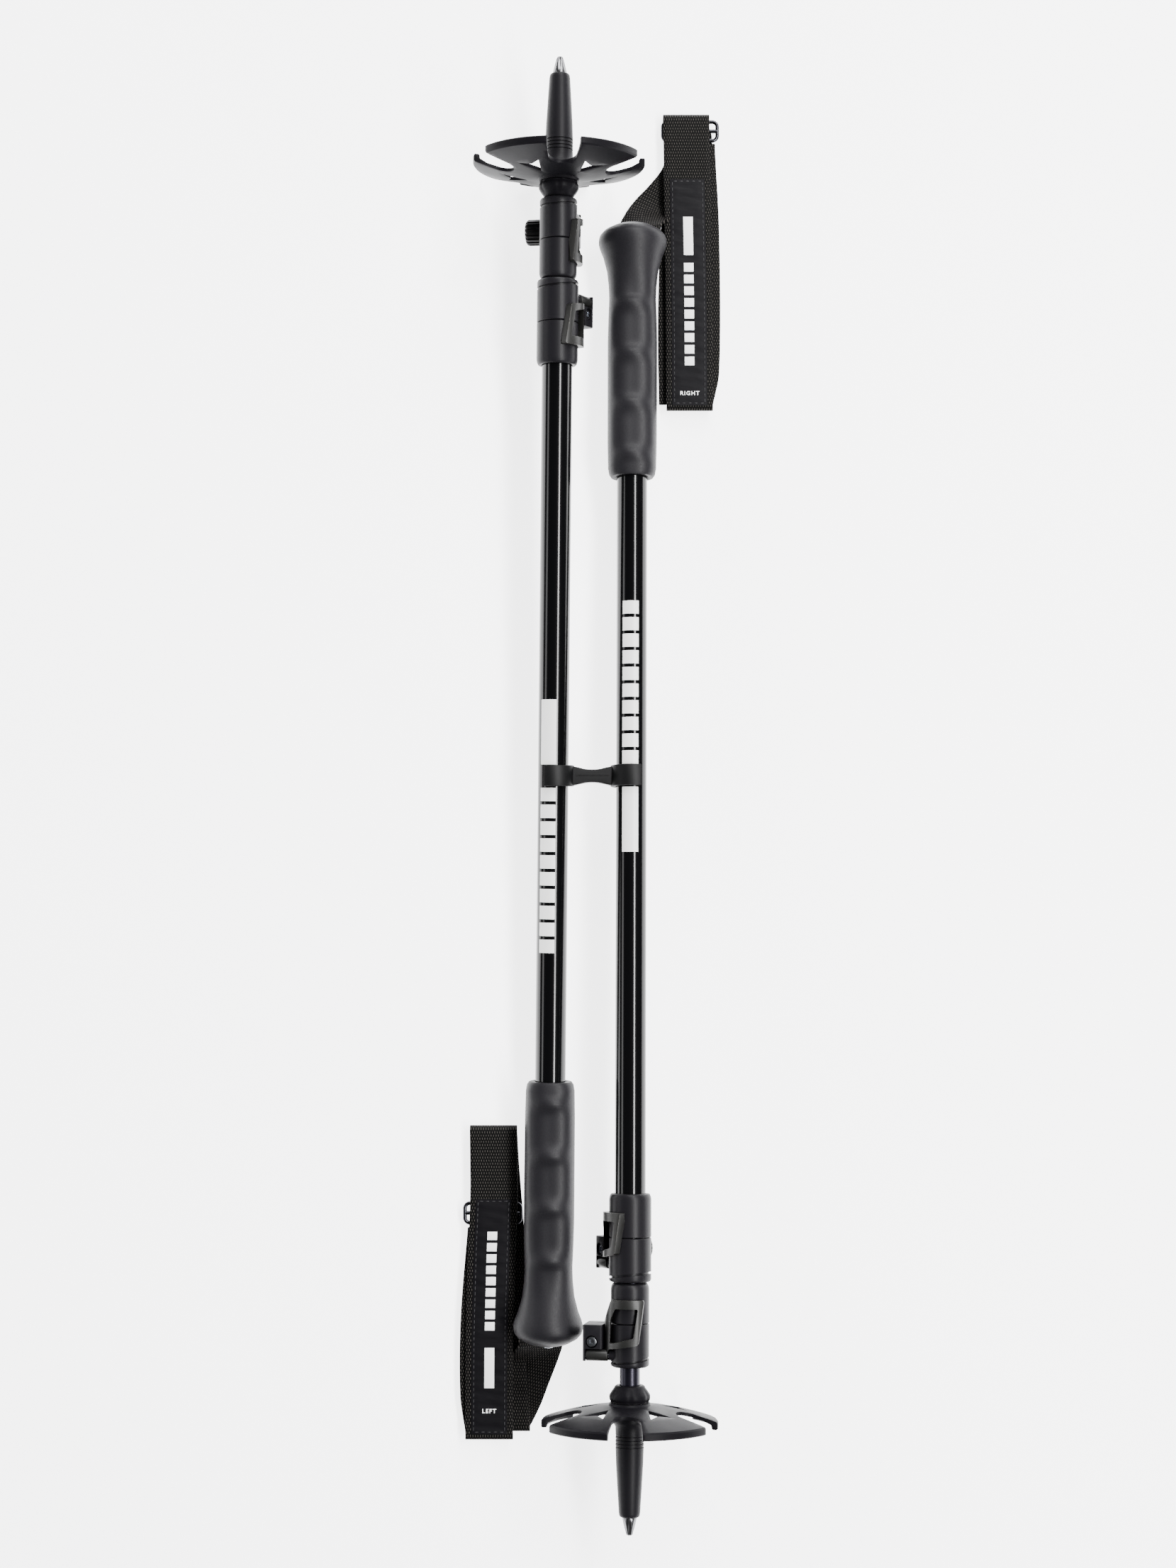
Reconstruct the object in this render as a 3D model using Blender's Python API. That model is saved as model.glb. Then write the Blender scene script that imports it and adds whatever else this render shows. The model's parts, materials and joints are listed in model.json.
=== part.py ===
"""A pair of three-section trekking poles, pushed in to packed length and held side by side by a clip.

Metres, +Z up. The poles lie along Y on the floor plane Z = 0: the left pole's tip points to +Y and
the right pole's tip to -Y. Each pole is built in its own frame: the axis is +Y, from the end of the
grip at 0 to the tip, +Z is its upper side. Each clamp has a frame of its own on that axis: +Z is the
side its lever opens to, +X is the side of its lug.
"""

import math

import bmesh
import bpy
from mathutils import Matrix, Vector

# Pole sections
UPPER_R = 0.0080
MIDDLE_R = 0.0066
LOWER_R = 0.0052
TUBE_WALL = 0.0007
GAP = 0.0003
RUNNING_GAP = 0.0001

# Stations along a pole, from the end of the grip
GRIP_LENGTH = 0.1384
UPPER_TUBE_START = 0.0225
UPPER_CLAMP_AT = 0.5140
LOWER_CLAMP_AT = 0.5593
MIDDLE_TUBE_START = 0.1420
LOWER_TUBE_START = 0.1650
LOWER_TUBE_END = 0.6420
NUT_AT = 0.6020
HUB_AT = 0.6108
FERRULE_END = 0.6678
TIP_END = 0.6770
RIGHT_PULLED_OUT = 0.0090

# Grip
HEAD_R = 0.0182
HEAD_AT = 0.0090
FIRST_RIDGE = 0.0463
RIDGE_PITCH = 0.0272
RIDGES = 4
SCOOP = 0.0009
SLOT_ROLL = math.radians(25)
SLOT_WIDTH = 0.0270
SLOT_INNER = 0.0060
SLOT_OUTER = 0.0104
SLOT_DEPTH = 0.0125

# Clamps: outer radius, tube held, tube inside it, length, split line, lever start
UPPER_CLAMP = {"body": 0.0109, "tube": UPPER_R, "inner": MIDDLE_R, "length": 0.0448,
               "split": 0.0223, "lever": 0.0094}
LOWER_CLAMP = {"body": 0.0099, "tube": MIDDLE_R, "inner": LOWER_R, "length": 0.0424,
               "split": 0.0205, "lever": 0.0080}
LUG_END = 0.0394
LUG_OUT = 0.0234
LUG_TOP = 0.0080
LUG_BOTTOM = -0.0110
LUG_STEP = 0.0009
BOLT_X = 0.0187
BOLT_Y = 0.0296
BOLT_R = 0.0024
BOLT_HEAD_R = 0.0029
PIN_Y = 0.0364
PIN_Z = 0.0051
PIN_R = 0.0010
BARREL_R = 0.0029
LEVER_WALL = 0.0027
LEVER_GAP = 0.0004
KNOB_R = 0.0069
KNOB_LENGTH = 0.0095
LEVER_TURNS = {"left_upper": 58, "left_lower": 80, "right_upper": 62, "right_lower": 10}

# Basket
BASKET_R = 0.0452
RIM_FROM = 0.0084
RIM_AT = 0.0124
BASKET_WALL = 0.0018
PETALS = 5
FIRST_NOTCH = 4
NOTCH_WIDTH = 0.0150

# Where the poles lie: end of grip, and turn about Z
LEFT_AT = Vector((-0.0229, -0.2931, 0))
LEFT_YAW = math.radians(-0.53)
RIGHT_AT = Vector((0.0221, 0.3021, 0))
RIGHT_YAW = math.radians(179.755)
CLIP_Y = 0.0047

# Straps
WEBBING = 0.0250
WEBBING_T = 0.0015
LAYER_Z = (0.0011, 0.0032, 0.0054, 0.0076)
LABEL_WIDTH = 0.0187
LABEL_T = 0.0005
BUCKLE = (0.0316, 0.0124, 0.0021)

Y_AXIS = Vector((0, 1, 0))


def clear_scene():
    for obj in list(bpy.data.objects):
        bpy.data.objects.remove(obj, do_unlink=True)


def material(name, colour, roughness, metallic=0.0):
    mat = bpy.data.materials.new(name)
    mat.use_nodes = True
    shader = mat.node_tree.nodes["Principled BSDF"]
    shader.inputs["Base Color"].default_value = (*colour, 1)
    shader.inputs["Roughness"].default_value = roughness
    shader.inputs["Metallic"].default_value = metallic
    return mat


def piece(name, bm, mat, parent=None, at=(0, 0, 0)):
    """Makes an object from bm, shaded smooth but for its sharp edges."""
    bmesh.ops.recalc_face_normals(bm, faces=bm.faces)
    mesh = bpy.data.meshes.new(name)
    bm.to_mesh(mesh)
    bm.free()
    mesh.shade_smooth()
    mesh.set_sharp_from_angle(angle=math.radians(35))
    if mat:
        mesh.materials.append(mat)
    obj = bpy.data.objects.new(name, mesh)
    bpy.context.collection.objects.link(obj)
    obj.parent = parent
    obj.location = at
    return obj


def empty(name, parent=None, at=(0, 0, 0), turn=0.0):
    obj = bpy.data.objects.new(name, None)
    bpy.context.collection.objects.link(obj)
    obj.parent = parent
    obj.location = at
    obj.rotation_euler = (0, turn, 0)
    return obj


def turned(outline, steps=24, closed=True):
    """Turns an outline of (radius, y) points about the Y axis."""
    bm = bmesh.new()
    verts = [bm.verts.new((radius, y, 0)) for radius, y in outline]
    pairs = list(zip(verts, verts[1:]))
    if closed:
        pairs.append((verts[-1], verts[0]))
    edges = [bm.edges.new(pair) for pair in pairs]
    bmesh.ops.spin(bm, geom=verts + edges, cent=(0, 0, 0), axis=(0, 1, 0),
                   angle=2 * math.pi, steps=steps, use_merge=True)
    bmesh.ops.remove_doubles(bm, verts=bm.verts, dist=1e-6)
    return bm


def pipe(outer, inner, start, end, steps=24):
    return turned([(outer, start), (outer, end), (inner, end), (inner, start)], steps)


def rod(radius, low, high, axis, steps=12):
    """A cylinder along X, Y or Z, from low to high, centred on that axis."""
    bm = bmesh.new()
    bmesh.ops.create_cone(bm, cap_ends=True, segments=steps, radius1=radius, radius2=radius,
                          depth=high - low)
    bmesh.ops.translate(bm, vec=Vector((0, 0, (low + high) / 2)), verts=bm.verts)
    turn = {"X": Matrix.Rotation(math.radians(90), 4, "Y"), "Z": Matrix.Identity(4),
            "Y": Matrix.Rotation(math.radians(-90), 4, "X")}[axis]
    bmesh.ops.transform(bm, matrix=turn, verts=bm.verts)
    return bm


def prism(outline, low, high, along):
    """Extrudes a flat outline along Y (points are x, z) or along Z (points are x, y)."""
    bm = bmesh.new()
    place = (lambda a, b: (a, low, b)) if along == "Y" else (lambda a, b: (a, b, low))
    face = bm.faces.new([bm.verts.new(place(a, b)) for a, b in outline])
    top = bmesh.ops.extrude_face_region(bm, geom=[face])["geom"]
    step = Vector((0, high - low, 0)) if along == "Y" else Vector((0, 0, high - low))
    bmesh.ops.translate(bm, vec=step, verts=[v for v in top if isinstance(v, bmesh.types.BMVert)])
    return bm


def block(low, high):
    return prism([(low[0], low[1]), (high[0], low[1]), (high[0], high[1]), (low[0], high[1])],
                 low[2], high[2], "Z")


def moved(bm, offset):
    bmesh.ops.translate(bm, vec=Vector(offset), verts=bm.verts)
    return bm


def combine(target, bm, operation):
    """Joins bm to the target, cuts it away or keeps what is inside it, with a live Boolean."""
    tool = piece(f"{target.name}_{operation.lower()}", bm, None, target.parent, target.location)
    tool.hide_render = True
    tool.display_type = "WIRE"
    modifier = target.modifiers.new(operation, "BOOLEAN")
    modifier.operation = operation
    modifier.solver = "EXACT"
    modifier.object = tool


def ribbon(stations, width, thickness):
    """Sweeps a flat strip along stations of (centre, direction across the strip)."""
    bm = bmesh.new()
    rings = []
    for index, (centre, across) in enumerate(stations):
        before = stations[max(index - 1, 0)][0]
        after = stations[min(index + 1, len(stations) - 1)][0]
        across = across.normalized()
        up = across.cross(after - before).normalized()
        side, lift = across * width / 2, up * thickness / 2
        corners = (centre - side - lift, centre + side - lift, centre + side + lift,
                   centre - side + lift)
        rings.append([bm.verts.new(corner) for corner in corners])
    for ring, following in zip(rings, rings[1:]):
        for k in range(4):
            n = (k + 1) % 4
            bm.faces.new((ring[k], ring[n], following[n], following[k]))
    bm.faces.new(rings[0])
    bm.faces.new(rings[-1])
    return bm


# ---------------------------------------------------------------- grip

def head_slope(pulled):
    """The tilt of a pole that rests on its grip head and on its basket's rim."""
    run = HUB_AT + pulled + RIM_FROM - HEAD_AT
    return math.atan((BASKET_R - HEAD_R) / run)


def grip_radius(y):
    """Outer radius of the grip at y, through the points that shape it."""
    points = ((0, 0), (0.0004, 0.0055), (0.0020, 0.0112), (0.0045, 0.0156), (HEAD_AT, HEAD_R),
              (0.0125, 0.0179), (0.0180, 0.0157), (0.0260, 0.0136), (0.0340, 0.0127),
              (0.0410, 0.0125), (0.0520, 0.0129), (0.0650, 0.0132), (0.1200, 0.0131),
              (0.1340, 0.0127), (0.1370, 0.0122), (GRIP_LENGTH, 0.0108))
    for (y0, r0), (y1, r1) in zip(points, points[1:]):
        if y <= y1:
            return r0 + (r1 - r0) * (y - y0) / (y1 - y0)
    return points[-1][1]


def scoop_depth(y, angle):
    """How deep the hollows between the finger ridges are, on the upper side only."""
    place = (y - FIRST_RIDGE) / RIDGE_PITCH
    if not -0.5 < place < RIDGES - 1 or abs(angle) > math.radians(52):
        return 0
    around = math.cos(angle / math.radians(52) * math.pi / 2)
    return SCOOP * math.sin(math.pi * place) ** 2 * around


def grip_mesh():
    steps = 20
    ends = [0.0004, 0.0020, 0.0045, HEAD_AT, 0.0125, 0.0180, 0.0260, 0.0340]
    waves = [FIRST_RIDGE + RIDGE_PITCH * k / 4 for k in range(-1, 4 * (RIDGES - 1) + 1)]
    levels = ends + waves + [0.1340, 0.1370, GRIP_LENGTH]
    bm = bmesh.new()
    rings = []
    for y in levels:
        ring = []
        for k in range(steps):
            angle = 2 * math.pi * k / steps
            turn = angle - 2 * math.pi if angle > math.pi else angle
            r = grip_radius(y) - scoop_depth(y, turn)
            ring.append(bm.verts.new((r * math.sin(angle), y, r * math.cos(angle))))
        rings.append(ring)
    for y in (GRIP_LENGTH, UPPER_TUBE_START - GAP):
        r = UPPER_R + GAP
        turns = [2 * math.pi * k / steps for k in range(steps)]
        rings.append([bm.verts.new((r * math.sin(a), y, r * math.cos(a))) for a in turns])
    for ring, following in zip(rings, rings[1:]):
        for k in range(steps):
            n = (k + 1) % steps
            bm.faces.new((ring[k], ring[n], following[n], following[k]))
    bm.faces.new(rings[0])
    bm.faces.new(rings[-1])
    return bm


def slot_frame():
    """Directions across the strap slot and out through its wall, in the pole's frame."""
    across = Vector((math.cos(SLOT_ROLL), 0, -math.sin(SLOT_ROLL)))
    out = Vector((-math.sin(SLOT_ROLL), 0, -math.cos(SLOT_ROLL)))
    return across, out


def slot_block(width, inner, outer, start, end):
    """A block lying in the strap slot, between two distances from the pole's axis."""
    bm = block((-width / 2, start, -outer), (width / 2, end, -inner))
    bmesh.ops.transform(bm, matrix=Matrix.Rotation(SLOT_ROLL, 4, "Y"), verts=bm.verts)
    return bm


def make_grip(side, pole, mats):
    grip = piece(f"{side}_grip", grip_mesh(), mats["foam"], pole)
    slot = slot_block(SLOT_WIDTH, SLOT_INNER, SLOT_OUTER, -0.004, SLOT_DEPTH)
    combine(grip, slot, "DIFFERENCE")
    plug_r = 0.0035
    combine(grip, rod(plug_r + GAP, -0.002, 0.0048, "Y"), "DIFFERENCE")
    plug = turned([(0, -0.0006), (plug_r - 0.0006, -0.0006), (plug_r, 0), (plug_r, 0.0045),
                   (0, 0.0045)], 16, closed=False)
    piece(f"{side}_grip_plug", plug, mats["steel"], pole)
    wedge = slot_block(0.0200, SLOT_INNER + GAP, SLOT_INNER + 0.0022, 0.0030, SLOT_DEPTH - GAP)
    piece(f"{side}_strap_wedge", wedge, mats["clamp"], pole)


# ---------------------------------------------------------------- tubes

def bush(outer, spigot, start):
    """The guide on a tube's inner end: a flange that slides in the tube outside, and a spigot."""
    bore = spigot - 0.0012
    return turned([(bore, start - 0.0080), (outer, start - 0.0080), (outer, start - GAP),
                   (spigot, start - GAP), (spigot, start + 0.0120), (bore, start + 0.0120)], 16)


def make_tubes(side, pole, mats):
    upper_end = UPPER_CLAMP_AT + UPPER_CLAMP["length"] - 0.0015
    middle_end = LOWER_CLAMP_AT + LOWER_CLAMP["length"] - 0.0015
    pulled = RIGHT_PULLED_OUT if side == "right" else 0
    piece(f"{side}_upper_tube", pipe(UPPER_R, UPPER_R - TUBE_WALL, UPPER_TUBE_START, upper_end),
          mats["tube"], pole)
    piece(f"{side}_middle_tube", pipe(MIDDLE_R, MIDDLE_R - TUBE_WALL, MIDDLE_TUBE_START, middle_end),
          mats["inner_tube"], pole)
    piece(f"{side}_lower_tube", pipe(LOWER_R, LOWER_R - TUBE_WALL, LOWER_TUBE_START, LOWER_TUBE_END),
          mats["inner_tube"], pole, (0, pulled, 0))
    middle_bush = bush(UPPER_R - TUBE_WALL - RUNNING_GAP, MIDDLE_R - TUBE_WALL - GAP,
                       MIDDLE_TUBE_START)
    piece(f"{side}_middle_guide", middle_bush, mats["clamp"], pole)
    lower_bush = bush(MIDDLE_R - TUBE_WALL - RUNNING_GAP, LOWER_R - TUBE_WALL - GAP,
                      LOWER_TUBE_START)
    piece(f"{side}_lower_guide", lower_bush, mats["clamp"], pole, (0, pulled, 0))


# ---------------------------------------------------------------- clamps

def make_sleeve(name, size, frame, mats):
    bore, body, end = size["tube"] + GAP, size["body"], size["split"]
    outline = [(bore, 0), (bore + 0.0010, 0), (body - 0.0008, 0.0016), (body, 0.0044),
               (body, end - 0.0002), (bore, end - 0.0002)]
    piece(f"{name}_sleeve", turned(outline), mats["clamp"], frame)


def make_collar(name, size, frame, mats):
    """The split band: a ring, a lug with the bolt through it and two cheeks that hold the pin."""
    bore, body, end = size["tube"] + GAP, size["body"], size["length"]
    start, lip = size["split"] + 0.0002, size["inner"] + GAP
    outline = [(bore, start), (body, start), (body, end - 0.0010), (body - 0.0010, end), (lip, end),
               (lip, end - 0.0009), (bore, end - 0.0009)]
    collar = piece(f"{name}_collar", turned(outline), mats["clamp"], frame)
    lug_start = size["split"] + 0.0005
    upper_x = body + LEVER_GAP + LEVER_WALL + LEVER_GAP
    root_x = size["tube"] + 0.0008
    lug = [(root_x, LUG_BOTTOM + 0.002), (root_x + 0.003, LUG_BOTTOM), (LUG_OUT - 0.0015, LUG_BOTTOM),
           (LUG_OUT, LUG_BOTTOM + 0.0015), (LUG_OUT, LUG_TOP - 0.0010), (LUG_OUT - 0.0010, LUG_TOP),
           (upper_x, LUG_TOP), (upper_x, LUG_STEP), (root_x, LUG_STEP)]
    combine(collar, prism(lug, lug_start, LUG_END, "Y"), "UNION")
    pocket_end = LUG_OUT - 0.0014
    pocket = block((body + 0.0003, PIN_Y - BARREL_R - 0.0004, LUG_STEP),
                   (pocket_end, LUG_END + 0.002, LUG_TOP + 0.002))
    combine(collar, pocket, "DIFFERENCE")
    cheek = moved(rod(0.0025, root_x - 0.0006, body - 0.0002, "X"), (0, PIN_Y, PIN_Z))
    combine(collar, cheek, "UNION")
    slit = block((0.0010, start - 0.001, -0.0050), (LUG_OUT + 0.001, end + 0.001, -0.0036))
    combine(collar, slit, "DIFFERENCE")
    hole = moved(rod(BOLT_R + GAP, LUG_BOTTOM - 0.001, LUG_TOP + 0.001, "Z"), (BOLT_X, BOLT_Y, 0))
    combine(collar, hole, "DIFFERENCE")
    recess = moved(rod(BOLT_HEAD_R + GAP, LUG_TOP - 0.0045, LUG_TOP + 0.001, "Z"),
                   (BOLT_X, BOLT_Y, 0))
    combine(collar, recess, "DIFFERENCE")
    pin_hole = moved(rod(PIN_R + GAP, body - 0.0020, LUG_OUT + 0.001, "X", 12), (0, PIN_Y, PIN_Z))
    combine(collar, pin_hole, "DIFFERENCE")


def lever_outline(size):
    """The lever's plate seen from above: wide at the grip end, drawn over to the lug at the other."""
    edge = size["body"] + LEVER_GAP + LEVER_WALL
    return [(-0.0088, size["lever"]), (0.0084, size["lever"]), (edge + 0.0001, size["lever"] + 0.0125),
            (edge + 0.0001, PIN_Y), (size["body"] + 0.0007, PIN_Y), (size["body"] + 0.0002, 0.0330),
            (-0.0060, 0.0306)]


def window_outline(size):
    top = size["lever"] + 0.0062
    return [(-0.0053, top), (0.0053, top), (0.0081, 0.0190), (0.0088, 0.0292), (0.0070, 0.0290),
            (-0.0030, 0.0262)]


def make_lever(name, size, frame, mats):
    """A curved plate with a window, hugging the clamp, and a barrel that turns on the pin."""
    inner = size["body"] + LEVER_GAP
    outer = inner + LEVER_WALL
    first, last, steps = math.radians(-46), math.radians(82), 14
    turns = [first + (last - first) * k / steps for k in range(steps + 1)]
    shell = [(outer * math.sin(a), outer * math.cos(a)) for a in turns]
    shell += [(inner * math.sin(a), inner * math.cos(a)) for a in reversed(turns)]
    to_pin = (0, -PIN_Y, -PIN_Z)
    plate = moved(prism(shell, 0.004, PIN_Y + 0.001, "Y"), to_pin)
    lever = piece(f"{name}_lever", plate, mats["lever"], frame, (0, PIN_Y, PIN_Z))
    combine(lever, moved(prism(lever_outline(size), -0.002, 0.020, "Z"), to_pin), "INTERSECT")
    combine(lever, moved(prism(window_outline(size), -0.002, 0.020, "Z"), to_pin), "DIFFERENCE")
    combine(lever, rod(BARREL_R, size["body"] + 0.0006, LUG_OUT - 0.0018, "X", 20), "UNION")
    combine(lever, rod(PIN_R + GAP, 0, LUG_OUT, "X", 12), "DIFFERENCE")


def make_clamp(name, size, parent, at, mats):
    frame = empty(f"{name}_clamp", parent, (0, at, 0), math.radians(LEVER_TURNS[name]))
    make_sleeve(name, size, frame, mats)
    make_collar(name, size, frame, mats)
    make_lever(name, size, frame, mats)
    pin = rod(PIN_R, size["body"] - 0.0017, LUG_OUT - 0.0003, "X", 12)
    piece(f"{name}_pin", pin, mats["steel"], frame, (0, PIN_Y, PIN_Z))
    knob_top = LUG_BOTTOM - GAP
    low = knob_top - KNOB_LENGTH
    bolt = turned([(0, low + 0.0006), (BOLT_R, low + 0.0006), (BOLT_R, LUG_TOP - 0.0042),
                   (BOLT_HEAD_R, LUG_TOP - 0.0042), (BOLT_HEAD_R, LUG_TOP - 0.0008),
                   (0, LUG_TOP - 0.0008)], 12, closed=False)
    bmesh.ops.transform(bolt, matrix=Matrix.Rotation(math.radians(90), 4, "X"), verts=bolt.verts)
    piece(f"{name}_bolt", bolt, mats["steel"], frame, (BOLT_X, BOLT_Y, 0))
    knob = turned([(BOLT_R + GAP, low), (KNOB_R - 0.0009, low), (KNOB_R, low + 0.0009),
                   (KNOB_R, knob_top), (BOLT_R + GAP, knob_top)], 20)
    bmesh.ops.transform(knob, matrix=Matrix.Rotation(math.radians(90), 4, "X"), verts=knob.verts)
    piece(f"{name}_knob", knob, mats["clamp"], frame, (BOLT_X, BOLT_Y, 0))


# ---------------------------------------------------------------- basket and tip

def notch_cutter(angle):
    """A U-shaped cut from the rim inward, round at its inner end."""
    half, inner, steps = NOTCH_WIDTH / 2, 0.0330, 6
    arc = [(half * math.cos(a), inner - half * math.sin(a))
           for a in (math.pi * k / steps for k in range(steps + 1))]
    outline = arc + [(-half - 0.002, BASKET_R + 0.005), (half + 0.002, BASKET_R + 0.005)]
    bm = prism(outline, HUB_AT - 0.004, HUB_AT + RIM_AT + 0.004, "Y")
    bmesh.ops.transform(bm, matrix=Matrix.Rotation(angle, 4, "Y"), verts=bm.verts)
    return bm


def window_cutter(angle):
    outline = [(0, 0.0170), (0.0062, 0.0290), (0, 0.0262), (-0.0062, 0.0290)]
    bm = prism(outline, HUB_AT - 0.004, HUB_AT + RIM_AT + 0.004, "Y")
    bmesh.ops.transform(bm, matrix=Matrix.Rotation(angle, 4, "Y"), verts=bm.verts)
    return bm


def joined(parts):
    """One bmesh holding several separate closed bodies."""
    bm = bmesh.new()
    for part in parts:
        mesh = bpy.data.meshes.new("part")
        part.to_mesh(mesh)
        part.free()
        bm.from_mesh(mesh)
        bpy.data.meshes.remove(mesh)
    return bm


def make_tip(side, pole, mats):
    pulled = (0, RIGHT_PULLED_OUT if side == "right" else 0, 0)
    top, wall, rim = HUB_AT, BASKET_WALL, HUB_AT + RIM_AT
    dish = [(0.0076, top), (0.0104, top), (0.0110, top + 0.0012), (0.0300, top + 0.0044),
            (BASKET_R, top + RIM_FROM), (BASKET_R, rim), (BASKET_R - 0.0018, rim),
            (BASKET_R - 0.0024, top + 0.0100), (0.0300, top + 0.0044 + wall),
            (0.0106, top + 0.0012 + wall), (0.0106, top + 0.0058), (0.0076, top + 0.0058)]
    basket = piece(f"{side}_basket", turned(dish, 32), mats["basket"], pole, pulled)
    pitch = 2 * math.pi / PETALS
    notches = [math.radians(FIRST_NOTCH) + pitch * k for k in range(PETALS)]
    combine(basket, joined([notch_cutter(a) for a in notches]), "DIFFERENCE")
    combine(basket, joined([window_cutter(a + pitch / 2) for a in notches]), "DIFFERENCE")
    nut = [(LOWER_R + GAP, NUT_AT), (0.0078, NUT_AT), (0.0103, NUT_AT + 0.0042),
           (0.0105, top - 0.0016), (0.0100, top - GAP), (LOWER_R + GAP, top - GAP)]
    piece(f"{side}_basket_nut", turned(nut, 20), mats["basket"], pole, pulled)
    outer = [(0.0073, top + GAP), (0.0073, top + 0.0061), (0.0086, top + 0.0061),
             (0.0086, top + 0.0100), (0.0073, top + 0.0118), (0.0070, top + 0.0300),
             (0.0053, FERRULE_END - 0.0010), (0.0047, FERRULE_END)]
    bore = [(0.0026, FERRULE_END), (0.0026, LOWER_TUBE_END + 0.0004),
            (LOWER_R + GAP, LOWER_TUBE_END + 0.0004), (LOWER_R + GAP, top + GAP)]
    piece(f"{side}_ferrule", turned(outer + bore, 20), mats["clamp"], pole, pulled)
    start = FERRULE_END + GAP
    tip = [(0, FERRULE_END - 0.0130), (0.0023, FERRULE_END - 0.0130), (0.0023, start),
           (0.0037, start), (0.0034, start + 0.0018), (0.0024, TIP_END - 0.0030),
           (0.0024, TIP_END - 0.0005), (0.0019, TIP_END), (0, TIP_END)]
    piece(f"{side}_tip", turned(tip, 12, closed=False), mats["steel"], pole, pulled)


# ---------------------------------------------------------------- straps

def flat(x, y, layer, turn=0.0):
    """A station of webbing lying flat: its width is along X, turned by some degrees about Z."""
    angle = math.radians(turn)
    return Vector((x, y, LAYER_Z[layer])), Vector((math.cos(angle), math.sin(angle), 0))


def fold(x, y, low, high, heading):
    """Half a turn of webbing between two layers. Heading is +1 where the bend points to +Y."""
    z0, z1 = LAYER_Z[low], LAYER_Z[high]
    radius, middle, steps = abs(z1 - z0) / 2, (z0 + z1) / 2, 6
    stations = []
    for k in range(1, steps):
        a = math.pi * k / steps
        z = middle - math.cos(a) * (z1 - z0) / 2
        place = Vector((x, y + heading * radius * math.sin(a), z))
        stations.append((place, Vector((1, 0, 0))))
    return stations


def slot_stations(pole):
    """The webbing inside the head and just outside it, before it comes down to the floor."""
    across, out = slot_frame()
    lie = (SLOT_OUTER - GAP - WEBBING_T / 2) * out
    turn = pole.matrix_world.to_3x3()
    places = ((0.0118, across), (0.0050, across), (-0.0010, across))
    return [(pole.matrix_world @ (lie + Vector((0, y, 0))), turn @ side) for y, side in places]


def left_course(pole):
    """Out of the head, down to a fold, up under the strap, over its top and back down."""
    top, bottom = -0.1822, -0.3418
    course = slot_stations(pole)
    course += [(Vector((-0.0295, -0.3000, 0.0045)), Vector((0.98, -0.05, -0.17))),
               flat(-0.0330, -0.3080, 0, -12), flat(-0.0385, -0.3220, 0, -16),
               flat(-0.0440, -0.3350, 0, -4), flat(-0.0450, -0.3375, 0)]
    course += fold(-0.0450, -0.3385, 0, 1, -1)
    course += [flat(-0.0452, -0.3375, 1), flat(-0.0470, -0.3000, 1), flat(-0.0480, -0.2400, 1),
               flat(-0.0510, -0.2000, 1), flat(-0.0520, top - 0.0005, 1)]
    course += fold(-0.0520, top, 1, 3, 1)
    course += main_layer("left")
    course += fold(-0.0539, bottom, 3, 2, -1)
    course += [flat(-0.0539, bottom + 0.0010, 2), flat(-0.0568, -0.3200, 2),
               flat(-0.0566, -0.2800, 2), flat(-0.0530, -0.2330, 2)]
    return course


def right_course(pole):
    """Out of the head, up under the strap and its buckle, over its top and down, back up, and
    round the buckle to a free tail."""
    top, bottom, turned_round = 0.3625, 0.2052, 0.3488
    course = slot_stations(pole)
    course += [(Vector((0.0300, 0.3095, 0.0052)), Vector((-0.96, 0.12, -0.17))),
               flat(0.0355, 0.3155, 0, 155), flat(0.0440, 0.3240, 0, 146),
               flat(0.0505, 0.3340, 0, 158), flat(0.0528, 0.3450, 0, 173),
               flat(0.0530, 0.3560, 0, 180), flat(0.0514, top - 0.0015, 0, 180)]
    stations = fold(0.0514, top, 0, 3, 1)
    course += [(place, -side) for place, side in stations]
    course += [(place, -side) for place, side in main_layer("right")]
    course += [(place, -side) for place, side in fold(0.0529, bottom, 3, 2, -1)]
    course += [flat(0.0529, bottom + 0.0010, 2, 180), flat(0.0565, 0.2250, 2, 180),
               flat(0.0567, 0.3000, 2, 180), flat(0.0545, turned_round - 0.0010, 2, 180)]
    course += [(place, -side) for place, side in fold(0.0545, turned_round, 2, 1, 1)]
    course += [flat(0.0545, turned_round - 0.0010, 1, 180), flat(0.0500, 0.3000, 1, 180),
               flat(0.0485, 0.2500, 1, 180), flat(0.0490, 0.2075, 1, 180)]
    return course


def main_layer(side, lift=0.0):
    """The top layer of a strap, from its upper fold down to its lower end."""
    if side == "left":
        points = ((-0.0520, -0.1827), (-0.0516, -0.2150), (-0.0529, -0.2500), (-0.0538, -0.2900),
                  (-0.0539, -0.3200), (-0.0539, -0.3413))
    else:
        points = ((0.0514, 0.3615), (0.0518, 0.3300), (0.0524, 0.2900), (0.0528, 0.2500),
                  (0.0529, 0.2057))
    raised = Vector((0, 0, lift))
    return [(place + raised, across) for place, across in (flat(x, y, 3) for x, y in points)]


def make_strap(side, pole, mats):
    course = left_course(pole) if side == "left" else right_course(pole)
    piece(f"{side}_strap", ribbon(course, WEBBING, WEBBING_T), mats["webbing"])
    lift = WEBBING_T / 2 + GAP + LABEL_T / 2
    ends = (-0.2178, -0.3405) if side == "left" else (0.3298, 0.2060)
    layer = main_layer(side, lift)
    low, high = min(ends), max(ends)
    inside = [station for station in layer if low < station[0].y < high]
    first, last = (along_layer(layer, y) for y in ends)
    piece(f"{side}_strap_label", ribbon([first] + inside + [last], LABEL_WIDTH, LABEL_T),
          mats["label"])
    centre = (-0.0523, -0.2255) if side == "left" else (0.0535, 0.3571)
    make_buckle(side, centre, mats)


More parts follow.
